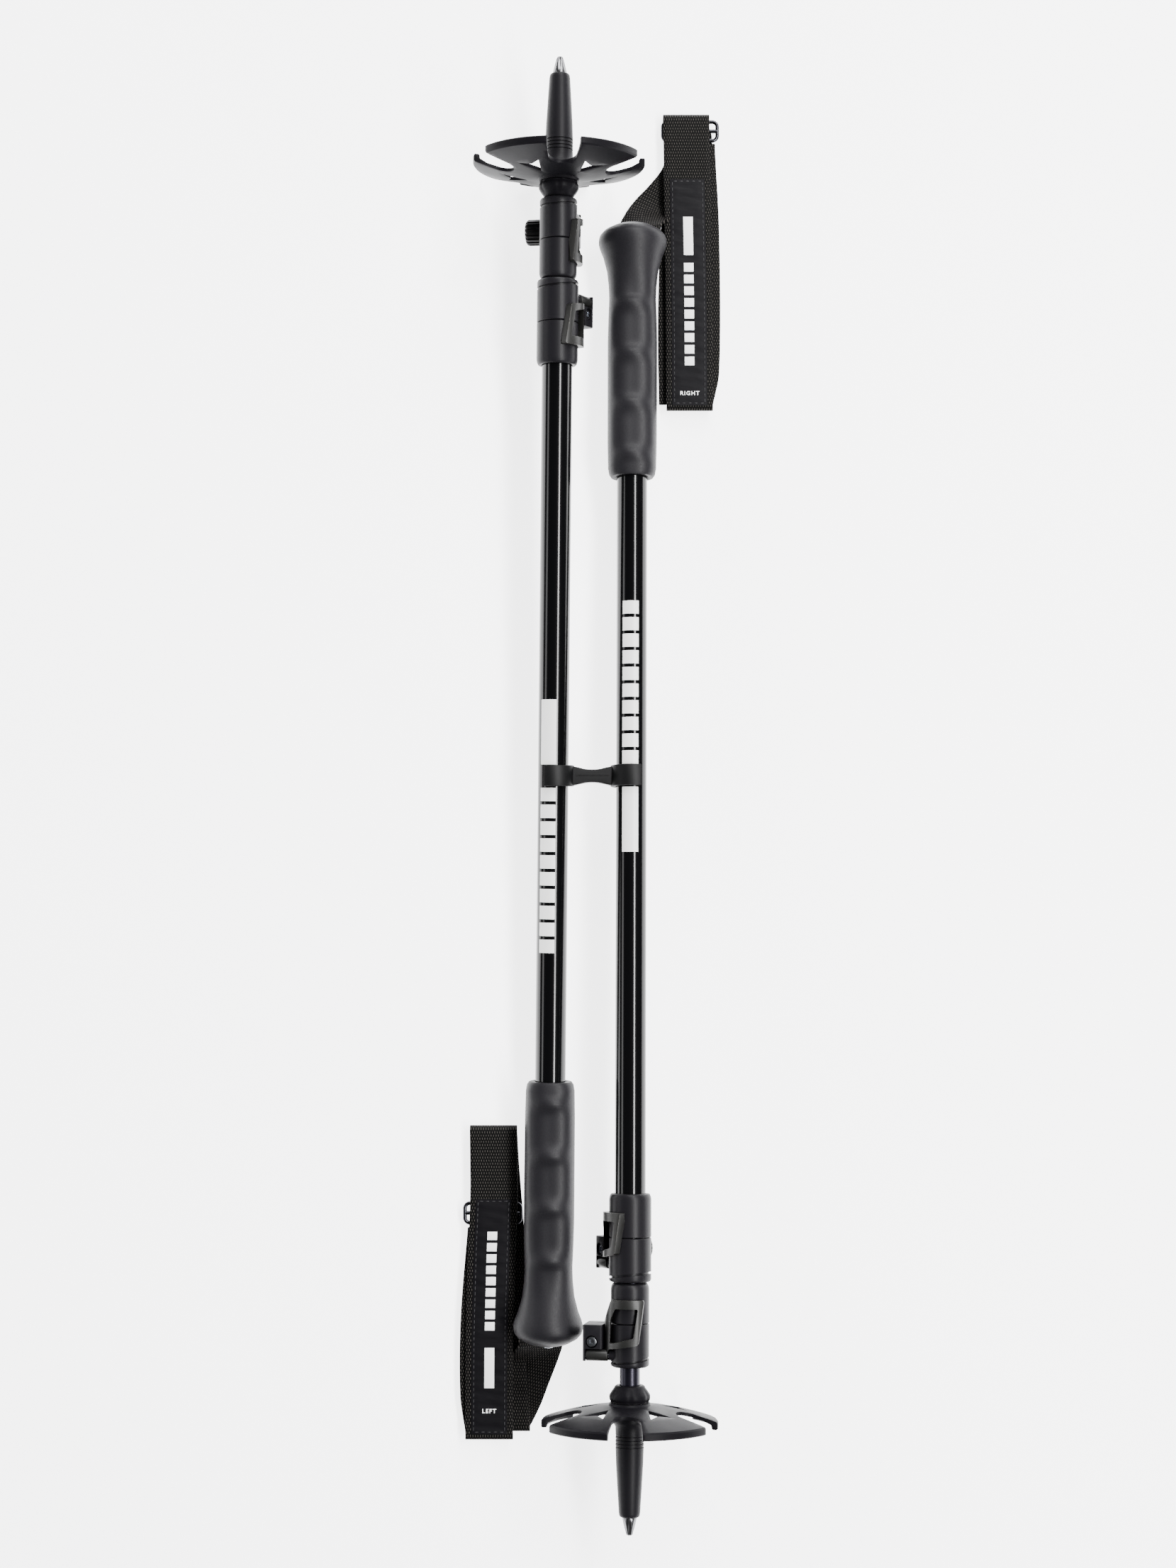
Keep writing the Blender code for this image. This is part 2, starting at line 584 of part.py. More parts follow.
def along_layer(layer, y):
    """The station of a layer at a given y."""
    for (a, across), (b, _) in zip(layer, layer[1:]):
        if min(a.y, b.y) <= y <= max(a.y, b.y):
            return a.lerp(b, (y - a.y) / (b.y - a.y)), across
    return layer[-1]


def make_buckle(side, centre, mats):
    """A wire frame with a middle bar, lying between the strap's layers."""
    length, width, wire = BUCKLE
    x, y = centre
    z = LAYER_Z[2]
    frame = piece(f"{side}_strap_buckle",
                  block((-length / 2, -width / 2, -wire / 2), (length / 2, width / 2, wire / 2)),
                  mats["steel"], None, (x, y, z))
    opening = length / 2 - wire
    rows = ((-width / 2 + wire, -wire / 2), (wire / 2, width / 2 - wire))
    slots = [block((-opening, low, -wire), (opening, high, wire)) for low, high in rows]
    combine(frame, joined(slots), "DIFFERENCE")


# ---------------------------------------------------------------- clip

def clip_ring(pole, opening, steps=18):
    """A C-shaped ring round a tube, open to one side, in world space."""
    inner, outer, half = UPPER_R + GAP, UPPER_R + 0.0030, 0.0055
    reach = math.radians(118)
    turns = [opening + math.pi - reach + 2 * reach * k / steps for k in range(steps + 1)]
    outline = [(outer * math.sin(a), outer * math.cos(a)) for a in turns]
    outline += [(inner * math.sin(a), inner * math.cos(a)) for a in reversed(turns)]
    at = pole.matrix_world.inverted() @ Vector((0, CLIP_Y, 0.031))
    bm = prism(outline, at.y - half, at.y + half, "Y")
    bmesh.ops.transform(bm, matrix=pole.matrix_world, verts=bm.verts)
    return bm


def axis_at(pole, y):
    """The point of a pole's axis at a world y."""
    start, along = pole.matrix_world.translation, pole.matrix_world.to_3x3() @ Y_AXIS
    return start + along * (y - start.y) / along.y


def make_clip(poles, mats):
    """Two C-rings that open away from each other, joined by a waisted bridge."""
    left, right = axis_at(poles["left"], CLIP_Y), axis_at(poles["right"], CLIP_Y)
    clip = piece("tie_clip", clip_ring(poles["left"], math.radians(-90)), mats["clip"])
    reach, half, waist, thick = UPPER_R + 0.0012, 0.0050, 0.0033, 0.0035
    x0, x1, middle = left.x + reach, right.x - reach, (left.x + right.x) / 2
    plan = [(x0, -half), (x0 + 0.003, -half), (middle - 0.004, -waist), (middle + 0.004, -waist),
            (x1 - 0.003, -half), (x1, -half), (x1, half), (x1 - 0.003, half),
            (middle + 0.004, waist), (middle - 0.004, waist), (x0 + 0.003, half), (x0, half)]
    bridge = prism([(x, CLIP_Y + y) for x, y in plan], left.z - thick, left.z + thick, "Z")
    combine(clip, bridge, "UNION")
    combine(clip, clip_ring(poles["right"], math.radians(-90)), "UNION")


# ---------------------------------------------------------------- assembly

def make_materials():
    return {
        "foam": material("moulded_foam", (0.042, 0.041, 0.044), 0.85),
        "tube": material("gloss_black_tube", (0.010, 0.010, 0.012), 0.18),
        "inner_tube": material("anodised_tube", (0.035, 0.033, 0.042), 0.30, 0.6),
        "clamp": material("clamp_nylon", (0.046, 0.045, 0.050), 0.50),
        "lever": material("gunmetal_lever", (0.100, 0.094, 0.080), 0.38, 0.7),
        "steel": material("bright_steel", (0.60, 0.60, 0.62), 0.22, 1.0),
        "basket": material("basket_nylon", (0.033, 0.032, 0.036), 0.48),
        "webbing": material("black_webbing", (0.020, 0.020, 0.023), 0.90),
        "label": material("satin_label", (0.016, 0.016, 0.019), 0.55),
        "clip": material("clip_rubber", (0.014, 0.014, 0.015), 0.60),
    }


def place_pole(name, at, yaw, pulled=0.0):
    """The frame of a pole that lies on the floor, tip end up by the slope."""
    pole = empty(name)
    slope = head_slope(pulled)
    height = Vector((0, 0, HEAD_R * math.cos(slope) - HEAD_AT * math.sin(slope)))
    turn = Matrix.Rotation(yaw, 4, "Z") @ Matrix.Rotation(slope, 4, "X")
    pole.matrix_world = Matrix.Translation(at + height) @ turn
    return pole


def main():
    clear_scene()
    mats = make_materials()
    poles = {"left": place_pole("left_pole", LEFT_AT, LEFT_YAW),
             "right": place_pole("right_pole", RIGHT_AT, RIGHT_YAW, RIGHT_PULLED_OUT)}
    for side, pole in poles.items():
        make_grip(side, pole, mats)
        make_tubes(side, pole, mats)
        make_clamp(f"{side}_upper", UPPER_CLAMP, pole, UPPER_CLAMP_AT, mats)
        make_clamp(f"{side}_lower", LOWER_CLAMP, pole, LOWER_CLAMP_AT, mats)
        make_tip(side, pole, mats)
        make_strap(side, pole, mats)
    make_clip(poles, mats)


main()
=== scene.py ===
"""Finishes a pair of folded trekking poles, held by a rubber clip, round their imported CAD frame."""

import json
import math

import bpy
from mathutils import Matrix, Vector


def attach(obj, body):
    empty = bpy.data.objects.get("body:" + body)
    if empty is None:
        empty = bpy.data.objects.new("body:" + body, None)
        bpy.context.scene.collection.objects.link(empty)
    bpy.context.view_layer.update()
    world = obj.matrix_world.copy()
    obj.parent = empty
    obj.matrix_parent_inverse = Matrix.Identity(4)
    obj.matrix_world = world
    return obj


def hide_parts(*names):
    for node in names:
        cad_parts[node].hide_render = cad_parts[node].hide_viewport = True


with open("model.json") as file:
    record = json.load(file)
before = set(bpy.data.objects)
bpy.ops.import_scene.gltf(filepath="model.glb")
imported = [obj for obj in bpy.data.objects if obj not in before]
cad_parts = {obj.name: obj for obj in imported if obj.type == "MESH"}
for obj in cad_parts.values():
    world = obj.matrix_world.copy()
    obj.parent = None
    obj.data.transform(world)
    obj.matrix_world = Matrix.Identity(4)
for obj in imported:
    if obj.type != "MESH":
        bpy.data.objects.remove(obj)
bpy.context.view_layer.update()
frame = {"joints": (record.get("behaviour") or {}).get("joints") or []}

joints = {joint["name"]: joint for joint in frame["joints"]}
SIDES = ("left", "right")

# ---- Studio: a white floor that glows a little, a long narrow light on the right that draws the
# bright line down the tubes, a soft one beyond the right pole's grip and a low panel on the left.
CAMERA_AT = Vector((-0.0019, -0.0742, 1.320))
CAMERA_AIM = Vector((-0.0019, 0.0006, 0.030))
VIEW_HEIGHT = 0.823
FLOOR_GLOW = 3.9
camera_data = bpy.data.cameras.new("camera")
camera_data.lens = camera_data.sensor_width * (CAMERA_AT - CAMERA_AIM).length / VIEW_HEIGHT
camera = bpy.data.objects.new("camera", camera_data)
camera.location = CAMERA_AT
camera.rotation_euler = (CAMERA_AIM - CAMERA_AT).to_track_quat("-Z", "Y").to_euler()
bpy.context.scene.collection.objects.link(camera)
bpy.context.scene.camera = camera


def paint(code):
    """A colour socket's value from an sRGB hex code."""
    channels = [int(code[k:k + 2], 16) / 255 for k in (0, 2, 4)]
    return [c / 12.92 if c <= 0.04045 else ((c + 0.055) / 1.055) ** 2.4 for c in channels] + [1.0]


def feed(node, links):
    """Joins what feeds a node to its sockets."""
    for key, source in links.items():
        node.id_data.links.new(source, node.inputs[key])


def add(mat, kind, settings=None, links=None):
    """Adds a shader node to a material, with its settings and what feeds its sockets."""
    node = mat.node_tree.nodes.new("ShaderNode" + kind)
    for key, value in (settings or {}).items():
        if isinstance(key, str) and hasattr(node, key):
            setattr(node, key, value)
        else:
            node.inputs[key].default_value = value
    feed(node, links or {})
    return node


def new_material(name, colour, roughness, specular=0.5, metallic=0.0, **more):
    """A material with only its Principled shader. Its colour may be left to its nodes."""
    mat = bpy.data.materials.new(name)
    mat.use_nodes = True
    shader = mat.node_tree.nodes["Principled BSDF"]
    more.update(Roughness=roughness, Specular_IOR_Level=specular, Metallic=metallic)
    if colour:
        more["Base_Color"] = paint(colour)
    for key, value in more.items():
        shader.inputs[key.replace("_", " ")].default_value = value
    return mat, shader


bpy.ops.mesh.primitive_plane_add(size=12, location=(0, 0, 0))
floor = bpy.context.object
floor.name = "studio_floor"
floor_paint, _ = new_material("matt_white_floor", "f4f4f5", roughness=0.9, specular=0.1,
                              Emission_Color=paint("fbfbfc"), Emission_Strength=FLOOR_GLOW)
floor.data.materials.append(floor_paint)

for name, at, size, energy in (("key_strip", (0.78, 0.10, 1.60), (2.60, 0.24), 96),
                               ("head_panel", (0.40, 1.90, 1.25), (1.30, 0.80), 60),
                               ("left_panel", (-1.75, 0.00, 0.85), (2.60, 0.45), 16)):
    light = bpy.data.lights.new(name, "AREA")
    light.shape, light.size, light.size_y, light.energy = "RECTANGLE", size[0], size[1], energy
    lamp = bpy.data.objects.new(name, light)
    lamp.location = at
    lamp.rotation_euler = (Vector((0, 0.0, 0.02)) - Vector(at)).to_track_quat("-Z", "Y").to_euler()
    bpy.context.scene.collection.objects.link(lamp)
world = bpy.data.worlds.new("studio_air")
world.use_nodes = True
world.node_tree.nodes["Background"].inputs["Color"].default_value = paint("f2f3f5")
world.node_tree.nodes["Background"].inputs["Strength"].default_value = 0.07
bpy.context.scene.world = world

# ---- Upper tubes: 16 mm aluminium tube in high-gloss black lacquer, glued in the grip at one end
# and in the clamp at the other. They carry printed white blocks and ride as the poles' upper part.
GRIP_END = {"left": Vector((-0.0229, -0.2931, 0)), "right": Vector((0.0221, 0.3021, 0))}
HEAD_R, HEAD_AT = 0.0182, 0.0090
UPPER_R, MIDDLE_R, LOWER_R = 0.0080, 0.0066, 0.0052
TUBE_WALL = 0.0007
RIGHT_PULLED_OUT = 0.0090


def pole_place(side):
    """A pole's frame: +Y from the end of the grip to the tip, +Z its upper side."""
    along = Vector(joints[f"{side}_middle_slide"]["axis"]).normalized()
    across = along.cross(Vector((0, 0, 1))).normalized()
    turn = Matrix((across, along, across.cross(along))).transposed().to_4x4()
    slope = math.asin(along.z)
    lift = Vector((0, 0, HEAD_R * math.cos(slope) - HEAD_AT * math.sin(slope)))
    return Matrix.Translation(GRIP_END[side] + lift) @ turn


PLACE = {side: pole_place(side) for side in SIDES}
PULLED = {"left": 0.0, "right": RIGHT_PULLED_OUT}


def turned_piece(name, profile, steps=48, shell=True):
    """Draws a ring out along Y, ring by ring, through points of (radius, y), and closes it."""
    (first_r, first_y), *rest = profile
    bpy.ops.mesh.primitive_circle_add(vertices=steps, radius=first_r, location=(0, first_y, 0),
                                      rotation=(math.pi / 2, 0, 0))
    obj = bpy.context.object
    obj.name = name
    bpy.ops.object.transform_apply()
    bpy.ops.object.mode_set(mode="EDIT")
    bpy.ops.mesh.select_all(action="SELECT")
    if not shell:
        bpy.ops.mesh.edge_face_add()
        bpy.ops.mesh.select_mode(type="EDGE")
    r, y = first_r, first_y
    for next_r, next_y in rest:
        bpy.ops.mesh.extrude_edges_move(TRANSFORM_OT_translate={"value": (0, next_y - y, 0)})
        scale = next_r / r
        bpy.ops.transform.resize(value=(scale, 1, scale), center_override=(0, next_y, 0))
        r, y = next_r, next_y
    if shell:
        bpy.ops.mesh.select_non_manifold()
        bpy.ops.mesh.bridge_edge_loops()
    else:
        bpy.ops.mesh.edge_face_add()
    bpy.ops.mesh.select_all(action="SELECT")
    bpy.ops.mesh.normals_make_consistent(inside=False)
    bpy.ops.object.mode_set(mode="OBJECT")
    return obj


def select_only(obj, *others):
    """Selects a piece, with any others, and makes it the active one."""
    bpy.ops.object.select_all(action="DESELECT")
    for piece in (obj, *others):
        piece.select_set(True)
    bpy.context.view_layer.objects.active = obj


def put(obj, place):
    """Moves a piece to its place and lets its mesh hold it."""
    obj.matrix_world = place @ obj.matrix_world
    select_only(obj)
    bpy.ops.object.transform_apply()
    return obj


def smooth(obj, degrees=35):
    """Smooth shading, but for edges sharper than some degrees."""
    select_only(obj)
    bpy.ops.object.shade_smooth_by_angle(angle=math.radians(degrees))
    return obj


def apply_all(obj):
    """Applies a piece's modifiers in their order."""
    select_only(obj)
    for modifier in list(obj.modifiers):
        bpy.ops.object.modifier_apply(modifier=modifier.name)


def finish_piece(obj, mat, body, slot, *nodes):
    """Gives a piece its material and its CAD body, and hides the CAD nodes it stands for; its slot is not
    used.
    """
    obj.data.materials.clear()
    obj.data.materials.append(mat)
    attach(obj, body)
    if nodes:
        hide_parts(*nodes)


# Gloss lacquer over drawn tube: near black, mirror-like, with a faint waviness of the drawn metal
# that keeps long reflections from being ruler-straight.
lacquer, lacquer_shader = new_material("gloss_black_lacquer", "060607", roughness=0.16,
                                       specular=0.16, Coat_Weight=0.30, Coat_Roughness=0.03)
place_node = add(lacquer, "TexCoord")
long_grain = add(lacquer, "Mapping", {"Scale": (260, 9, 260)},
                 {"Vector": place_node.outputs["Object"]})
drawn = add(lacquer, "TexNoise", {"Scale": 1.0, "Detail": 2.0},
            {"Vector": long_grain.outputs["Vector"]})
wave = add(lacquer, "Bump", {"Strength": 0.05, "Distance": 0.00004},
           {"Height": drawn.outputs["Fac"]})
feed(lacquer_shader, {"Normal": wave.outputs["Normal"]})

UPPER_TUBE = (0.0225, 0.5573)
for side in SIDES:
    start, end = UPPER_TUBE
    tube = turned_piece(f"{side}_lacquered_tube",
                        [(UPPER_R, start), (UPPER_R, 0.20), (UPPER_R, 0.38), (UPPER_R, end),
                         (UPPER_R - TUBE_WALL, end), (UPPER_R - TUBE_WALL, start)], 96)
    finish_piece(put(smooth(tube), PLACE[side]), lacquer, f"{side}_upper", "gloss_tube",
                 f"{side}_upper_tube")

# ---- Printed blocks: rows of plain white pad-printed blocks along each upper tube, a thin skin of
# ink that wraps a little way round it. They take the place of any lettering.
ink, _ = new_material("white_pad_print", "f3f3f1", roughness=0.35)
INK_T = 0.00004
BLOCKS = 10
BLOCK_LENGTH, BLOCK_GAP = 0.0070, 0.0018
BLOCKS_AT, BAR_AT, BAR_LENGTH = 0.2057, 0.3040, 0.0340
BLOCK_ARC = math.radians(33)


def row_of(name, count_x, count_y, step_x, step_y):
    """Repeats the selected piece in rows and columns."""
    obj = bpy.context.object
    obj.name = name
    for count, step in ((count_x, (step_x, 0, 0)), (count_y, (0, step_y, 0))):
        if count > 1:
            row = obj.modifiers.new("row", "ARRAY")
            row.count = count
            row.use_relative_offset, row.use_constant_offset = False, True
            row.constant_offset_displace = step
    apply_all(obj)
    return obj


for side, roll in (("left", -20), ("right", 5)):
    for group, (count, length, at) in enumerate(((BLOCKS, BLOCK_LENGTH, BLOCKS_AT),
                                                 (1, BAR_LENGTH, BAR_AT))):
        bpy.ops.mesh.primitive_cylinder_add(vertices=96, radius=UPPER_R + 0.00002, depth=length,
                                            end_fill_type="NOTHING", location=(0, at + length / 2, 0),
                                            rotation=(math.pi / 2, 0, 0))
        print_skin = bpy.context.object
        bpy.ops.object.transform_apply()
        bpy.ops.object.mode_set(mode="EDIT")
        bpy.ops.mesh.select_all(action="DESELECT")
        bpy.ops.object.mode_set(mode="OBJECT")
        for face in print_skin.data.polygons:
            turn = math.atan2(face.center.x, face.center.z)
            face.select = abs(turn - math.radians(roll)) > BLOCK_ARC
        bpy.ops.object.mode_set(mode="EDIT")
        bpy.ops.mesh.delete(type="FACE")
        bpy.ops.object.mode_set(mode="OBJECT")
        row_of(f"{side}_print_{group}", 1, count, 0, length + BLOCK_GAP)
        skin = print_skin.modifiers.new("skin", "SOLIDIFY")
        skin.thickness, skin.offset = INK_T, 1
        apply_all(print_skin)
        finish_piece(put(smooth(print_skin), PLACE[side]), ink, f"{side}_upper", "gloss_tube")

# ---- Grips: a long handle moulded in one piece from firm EVA foam, with a domed head and four
# finger ridges on its upper side. It is pushed and glued on the tube.
GRIP_LENGTH = 0.1384
FIRST_RIDGE, RIDGE_PITCH, RIDGES = 0.0463, 0.0272, 4
SCOOP = 0.0025
SCOOP_HALF = math.radians(60)
GRIP_SHAPE = ((0.0004, 0.0055), (0.0020, 0.0112), (0.0045, 0.0156), (0.0068, 0.0176),
              (HEAD_AT, HEAD_R), (0.0112, 0.0182), (0.0140, 0.0174), (0.0180, 0.0158),
              (0.0260, 0.0137), (0.0340, 0.0128), (0.0410, 0.0125), (0.0520, 0.0129),
              (0.0650, 0.0132), (0.1200, 0.0131), (0.1340, 0.0128), (0.1368, 0.0122),
              (0.1382, 0.0112), (GRIP_LENGTH, 0.0104))


def grip_radius(y):
    for (y0, r0), (y1, r1) in zip(GRIP_SHAPE, GRIP_SHAPE[1:]):
        if y <= y1:
            return r0 + (r1 - r0) * (y - y0) / (y1 - y0)
    return GRIP_SHAPE[-1][1]


def scoop_depth(radius, y, turn):
    """How deep the hollows between the finger ridges are, at a turn from the upper side."""
    place = (y - FIRST_RIDGE) / RIDGE_PITCH
    if radius <= UPPER_R + 0.002 or not -0.9 < place < RIDGES - 0.42 or abs(turn) > SCOOP_HALF:
        return 0
    crest = abs(math.cos(math.pi * place)) ** 9
    share = 1 - abs(turn) / SCOOP_HALF
    ends = min(1, (place + 0.9) / 0.5, (RIDGES - 0.42 - place) / 0.4)
    return SCOOP * (1 - crest) * share * share * (3 - 2 * share) * ends


def press_in(obj, depth_at):
    """Moves a turned piece's skin toward its axis by a depth found from radius, y and turn."""
    for vertex in obj.data.vertices:
        x, y, z = vertex.co
        radius = math.hypot(x, z)
        depth = depth_at(radius, y, math.atan2(x, z))
        vertex.co.x -= depth * x / radius
        vertex.co.z -= depth * z / radius


def grain_relief(mat, shader, strength, distance, **grain):
    """Roughens a shader's surface with noise in Object coordinates, and gives back the noise."""
    place_node = add(mat, "TexCoord")
    noise = add(mat, "TexNoise", grain, {"Vector": place_node.outputs["Object"]}).outputs["Fac"]
    bump = add(mat, "Bump", {"Strength": strength, "Distance": distance}, {"Height": noise})
    feed(shader, {"Normal": bump.outputs["Normal"]})
    return noise


# Moulded foam: dark grey and matt, its closed skin finely grained where light grazes it, with a
# slightly uneven tone. The grain is drawn at 0.7 mm, coarser than the real skin, so that it shows.
foam, foam_shader = new_material("moulded_eva_foam", None, roughness=0.50, specular=0.16)
grain = grain_relief(foam, foam_shader, 0.35, 0.00012, Scale=1400.0, Detail=3.0, Roughness=0.65)
cloud = add(foam, "TexNoise", {"Scale": 45.0, "Detail": 2.0},
            {"Vector": add(foam, "TexCoord").outputs["Object"]})
tone = add(foam, "Mix", {"data_type": "RGBA", 6: paint("161518"), 7: paint("1c1b1e")},
           {"Factor": cloud.outputs["Fac"]})
speck = add(foam, "MapRange", {"From Min": 0.35, "From Max": 0.75, "To Min": 0.40, "To Max": 0.54},
            {"Value": grain})
feed(foam_shader, {"Base Color": tone.outputs[2], "Roughness": speck.outputs["Result"]})

SLOT_ROLL = math.radians(25)
SLOT_SIZE, SLOT_AT = (0.0270, 0.0165, 0.0044), (0, 0.00425, -0.0082)
for side in SIDES:
    body_levels = [0.0400 + 0.0017 * k for k in range(56)]
    levels = [y for y, _ in GRIP_SHAPE if y < 0.0395] + body_levels
    levels += [y for y, _ in GRIP_SHAPE if y > body_levels[-1] + 0.0008]
    profile = [(grip_radius(y), y) for y in levels]
    profile += [(UPPER_R + 0.0012, GRIP_LENGTH), (UPPER_R + 0.0003, GRIP_LENGTH - 0.0008),
                (UPPER_R + 0.0003, 0.0222)]
    grip = turned_piece(f"{side}_foam_grip", profile, 64, shell=False)
    press_in(grip, scoop_depth)
    bpy.ops.mesh.primitive_cube_add(size=1)
    slot = bpy.context.object
    slot.scale, slot.location = SLOT_SIZE, SLOT_AT
    bpy.ops.object.transform_apply()
    put(slot, Matrix.Rotation(SLOT_ROLL, 4, "Y"))
    cut = grip.modifiers.new("slot", "BOOLEAN")
    cut.operation, cut.solver, cut.object = "DIFFERENCE", "EXACT", slot
    apply_all(grip)
    bpy.data.objects.remove(slot)
    finish_piece(put(smooth(grip, 30), PLACE[side]), foam, f"{side}_upper", "grip_foam", f"{side}_grip")

# ---- Straps: 25 mm webbing of thick black polyester yarn, one length for each hand. It leaves the
# slot in the head, folds at both ends of the loop and runs through the buckle; it is sewn flat.
WEBBING, WEBBING_T = 0.0250, 0.0015
LAYER_Z = (0.0011, 0.0032, 0.0054, 0.0076)
SLOT_OUTER = 0.0104


def flat(x, y, layer, turn=0.0):
    """A station of webbing lying flat: where its middle is, and the direction across it."""
    angle = math.radians(turn)
    return Vector((x, y, LAYER_Z[layer])), Vector((math.cos(angle), math.sin(angle), 0))


def fold(x, y, low, high, heading, across=1):
    """Half a turn of webbing between two layers, bending toward +Y or -Y."""
    z0, z1 = LAYER_Z[low], LAYER_Z[high]
    stations = []
    for k in range(1, 8):
        a = math.pi * k / 8
        place = Vector((x, y + heading * abs(z1 - z0) / 2 * math.sin(a),
                        (z0 + z1) / 2 - math.cos(a) * (z1 - z0) / 2))
        stations.append((place, Vector((across, 0, 0))))
    return stations


def slot_stations(side):
    """The webbing inside the head and just outside it."""
    across = Vector((math.cos(SLOT_ROLL), 0, -math.sin(SLOT_ROLL)))
    lie = (SLOT_OUTER - 0.0003 - WEBBING_T / 2) * Vector((-math.sin(SLOT_ROLL), 0, -math.cos(SLOT_ROLL)))
    turn = PLACE[side].to_3x3()
    return [(PLACE[side] @ (lie + Vector((0, y, 0))), turn @ across) for y in (0.0118, 0.0050, -0.0010)]


TOP_LAYER = {"left": ((-0.0520, -0.1827), (-0.0516, -0.2150), (-0.0529, -0.2500),
                      (-0.0538, -0.2900), (-0.0539, -0.3200), (-0.0539, -0.3413)),
             "right": ((0.0514, 0.3615), (0.0518, 0.3300), (0.0524, 0.2900), (0.0528, 0.2500),
                       (0.0529, 0.2057))}
left_course = slot_stations("left")
left_course += [(Vector((-0.0295, -0.3000, 0.0045)), Vector((0.98, -0.05, -0.17))),
                flat(-0.0330, -0.3080, 0, -12), flat(-0.0385, -0.3220, 0, -16),
                flat(-0.0440, -0.3350, 0, -4), flat(-0.0450, -0.3375, 0)]
left_course += fold(-0.0450, -0.3385, 0, 1, -1)
left_course += [flat(-0.0452, -0.3375, 1), flat(-0.0470, -0.3000, 1), flat(-0.0480, -0.2400, 1),
                flat(-0.0510, -0.2000, 1), flat(-0.0520, -0.1827, 1)]
left_course += fold(-0.0520, -0.1822, 1, 3, 1)
left_course += [flat(x, y, 3) for x, y in TOP_LAYER["left"]]
left_course += fold(-0.0539, -0.3418, 3, 2, -1)
left_course += [flat(-0.0539, -0.3408, 2), flat(-0.0568, -0.3200, 2), flat(-0.0566, -0.2800, 2),
                flat(-0.0530, -0.2330, 2)]
right_course = slot_stations("right")
right_course += [(Vector((0.0300, 0.3095, 0.0052)), Vector((-0.96, 0.12, -0.17))),
                 flat(0.0355, 0.3155, 0, 155), flat(0.0440, 0.3240, 0, 146),
                 flat(0.0505, 0.3340, 0, 158), flat(0.0528, 0.3450, 0, 173),
                 flat(0.0530, 0.3560, 0, 180), flat(0.0514, 0.3610, 0, 180)]
right_course += fold(0.0514, 0.3625, 0, 3, 1, -1)
right_course += [flat(x, y, 3, 180) for x, y in TOP_LAYER["right"]]
right_course += fold(0.0529, 0.2052, 3, 2, -1, -1)
right_course += [flat(0.0529, 0.2062, 2, 180), flat(0.0565, 0.2250, 2, 180),
                 flat(0.0567, 0.3000, 2, 180), flat(0.0545, 0.3478, 2, 180)]
right_course += fold(0.0545, 0.3488, 2, 1, 1, -1)
right_course += [flat(0.0545, 0.3478, 1, 180), flat(0.0500, 0.3000, 1, 180),
                 flat(0.0485, 0.2500, 1, 180), flat(0.0490, 0.2075, 1, 180)]
COURSES = {"left": left_course, "right": right_course}


def rounded_course(course, parts=6):
    """Points close together on a smooth curve through a course's stations, with their lengths."""
    dense = []
    for k in range(len(course) - 1):
        before, after = course[max(k - 1, 0)][0], course[min(k + 2, len(course) - 1)][0]
        (a, side_a), (b, side_b) = course[k], course[k + 1]
        reach = (b - a).length
        out = (b - before).normalized() * reach
        into = (after - a).normalized() * reach
        for step in range(parts):
            t = step / parts
            place = (a * (2 * t ** 3 - 3 * t ** 2 + 1) + out * (t ** 3 - 2 * t ** 2 + t)
                     + b * (3 * t ** 2 - 2 * t ** 3) + into * (t ** 3 - t ** 2))
            dense.append((place, side_a.lerp(side_b, t).normalized()))
    dense.append((course[-1][0], course[-1][1].normalized()))
    lengths = [0.0]
    for (a, _), (b, _) in zip(dense, dense[1:]):
        lengths.append(lengths[-1] + (b - a).length)
    return dense, lengths


def lay_grid(name, course, width, spacing, columns):
    """Lays a flat grid along a course. Its UV map is in metres: across, then along."""
    dense, lengths = rounded_course(course)
    total = lengths[-1]
    rows = round(total / spacing)
    bpy.ops.mesh.primitive_grid_add(x_subdivisions=columns, y_subdivisions=rows, size=1)
    strip = bpy.context.object
    strip.name = name
    at = 0
    for vertex in sorted(strip.data.vertices, key=lambda v: v.co.y):
        along = (vertex.co.y + 0.5) * total
        while at < len(lengths) - 2 and lengths[at + 1] < along:
            at += 1
        share = (along - lengths[at]) / (lengths[at + 1] - lengths[at])
        (a, side_a), (b, side_b) = dense[at], dense[at + 1]
        vertex.co = a.lerp(b, share) + side_a.lerp(side_b, share) * vertex.co.x * width
    for corner in strip.data.uv_layers[0].data:
        corner.uv = (corner.uv.x * width, corner.uv.y * total)
    return strip, total


# Polyester webbing: thick dull yarn in a plain weave, whose floats stand up as rows of small
# staggered bumps 1.6 mm apart, with a painted highlight on their crowns and painted shade between.
webbing, webbing_shader = new_material("woven_polyester_webbing", None, roughness=0.60,
                                       specular=0.08)
cloth_map = add(webbing, "UVMap", {"uv_map": "UVMap"})
axes = add(webbing, "SeparateXYZ", links={"Vector": cloth_map.outputs["UV"]})
ROW_PITCH, FLOAT_PITCH = 0.00165, 0.00066
waves = []
for axis, pitch in (("X", FLOAT_PITCH), ("Y", ROW_PITCH)):
    phase = add(webbing, "Math", {"operation": "MULTIPLY", 1: math.pi / pitch}, {0: axes.outputs[axis]})
    waves.append(add(webbing, "Math", {"operation": "COSINE"}, {0: phase.outputs[0]}).outputs[0])
weave = add(webbing, "Math", {"operation": "MULTIPLY"}, dict(enumerate(waves)))
floats = add(webbing, "Math", {"operation": "MAXIMUM", 1: 0.0}, {0: weave.outputs[0]})
yarn = add(webbing, "TexNoise", {"Scale": 2600.0, "Detail": 2.0},
           {"Vector": cloth_map.outputs["UV"]})
# Painted light: this mask is highest on the crowns of the float bumps and gives them a painted highlight.
crown_highlight = add(webbing, "Math", {"operation": "MULTIPLY"},
            {0: floats.outputs[0], 1: yarn.outputs["Fac"]})
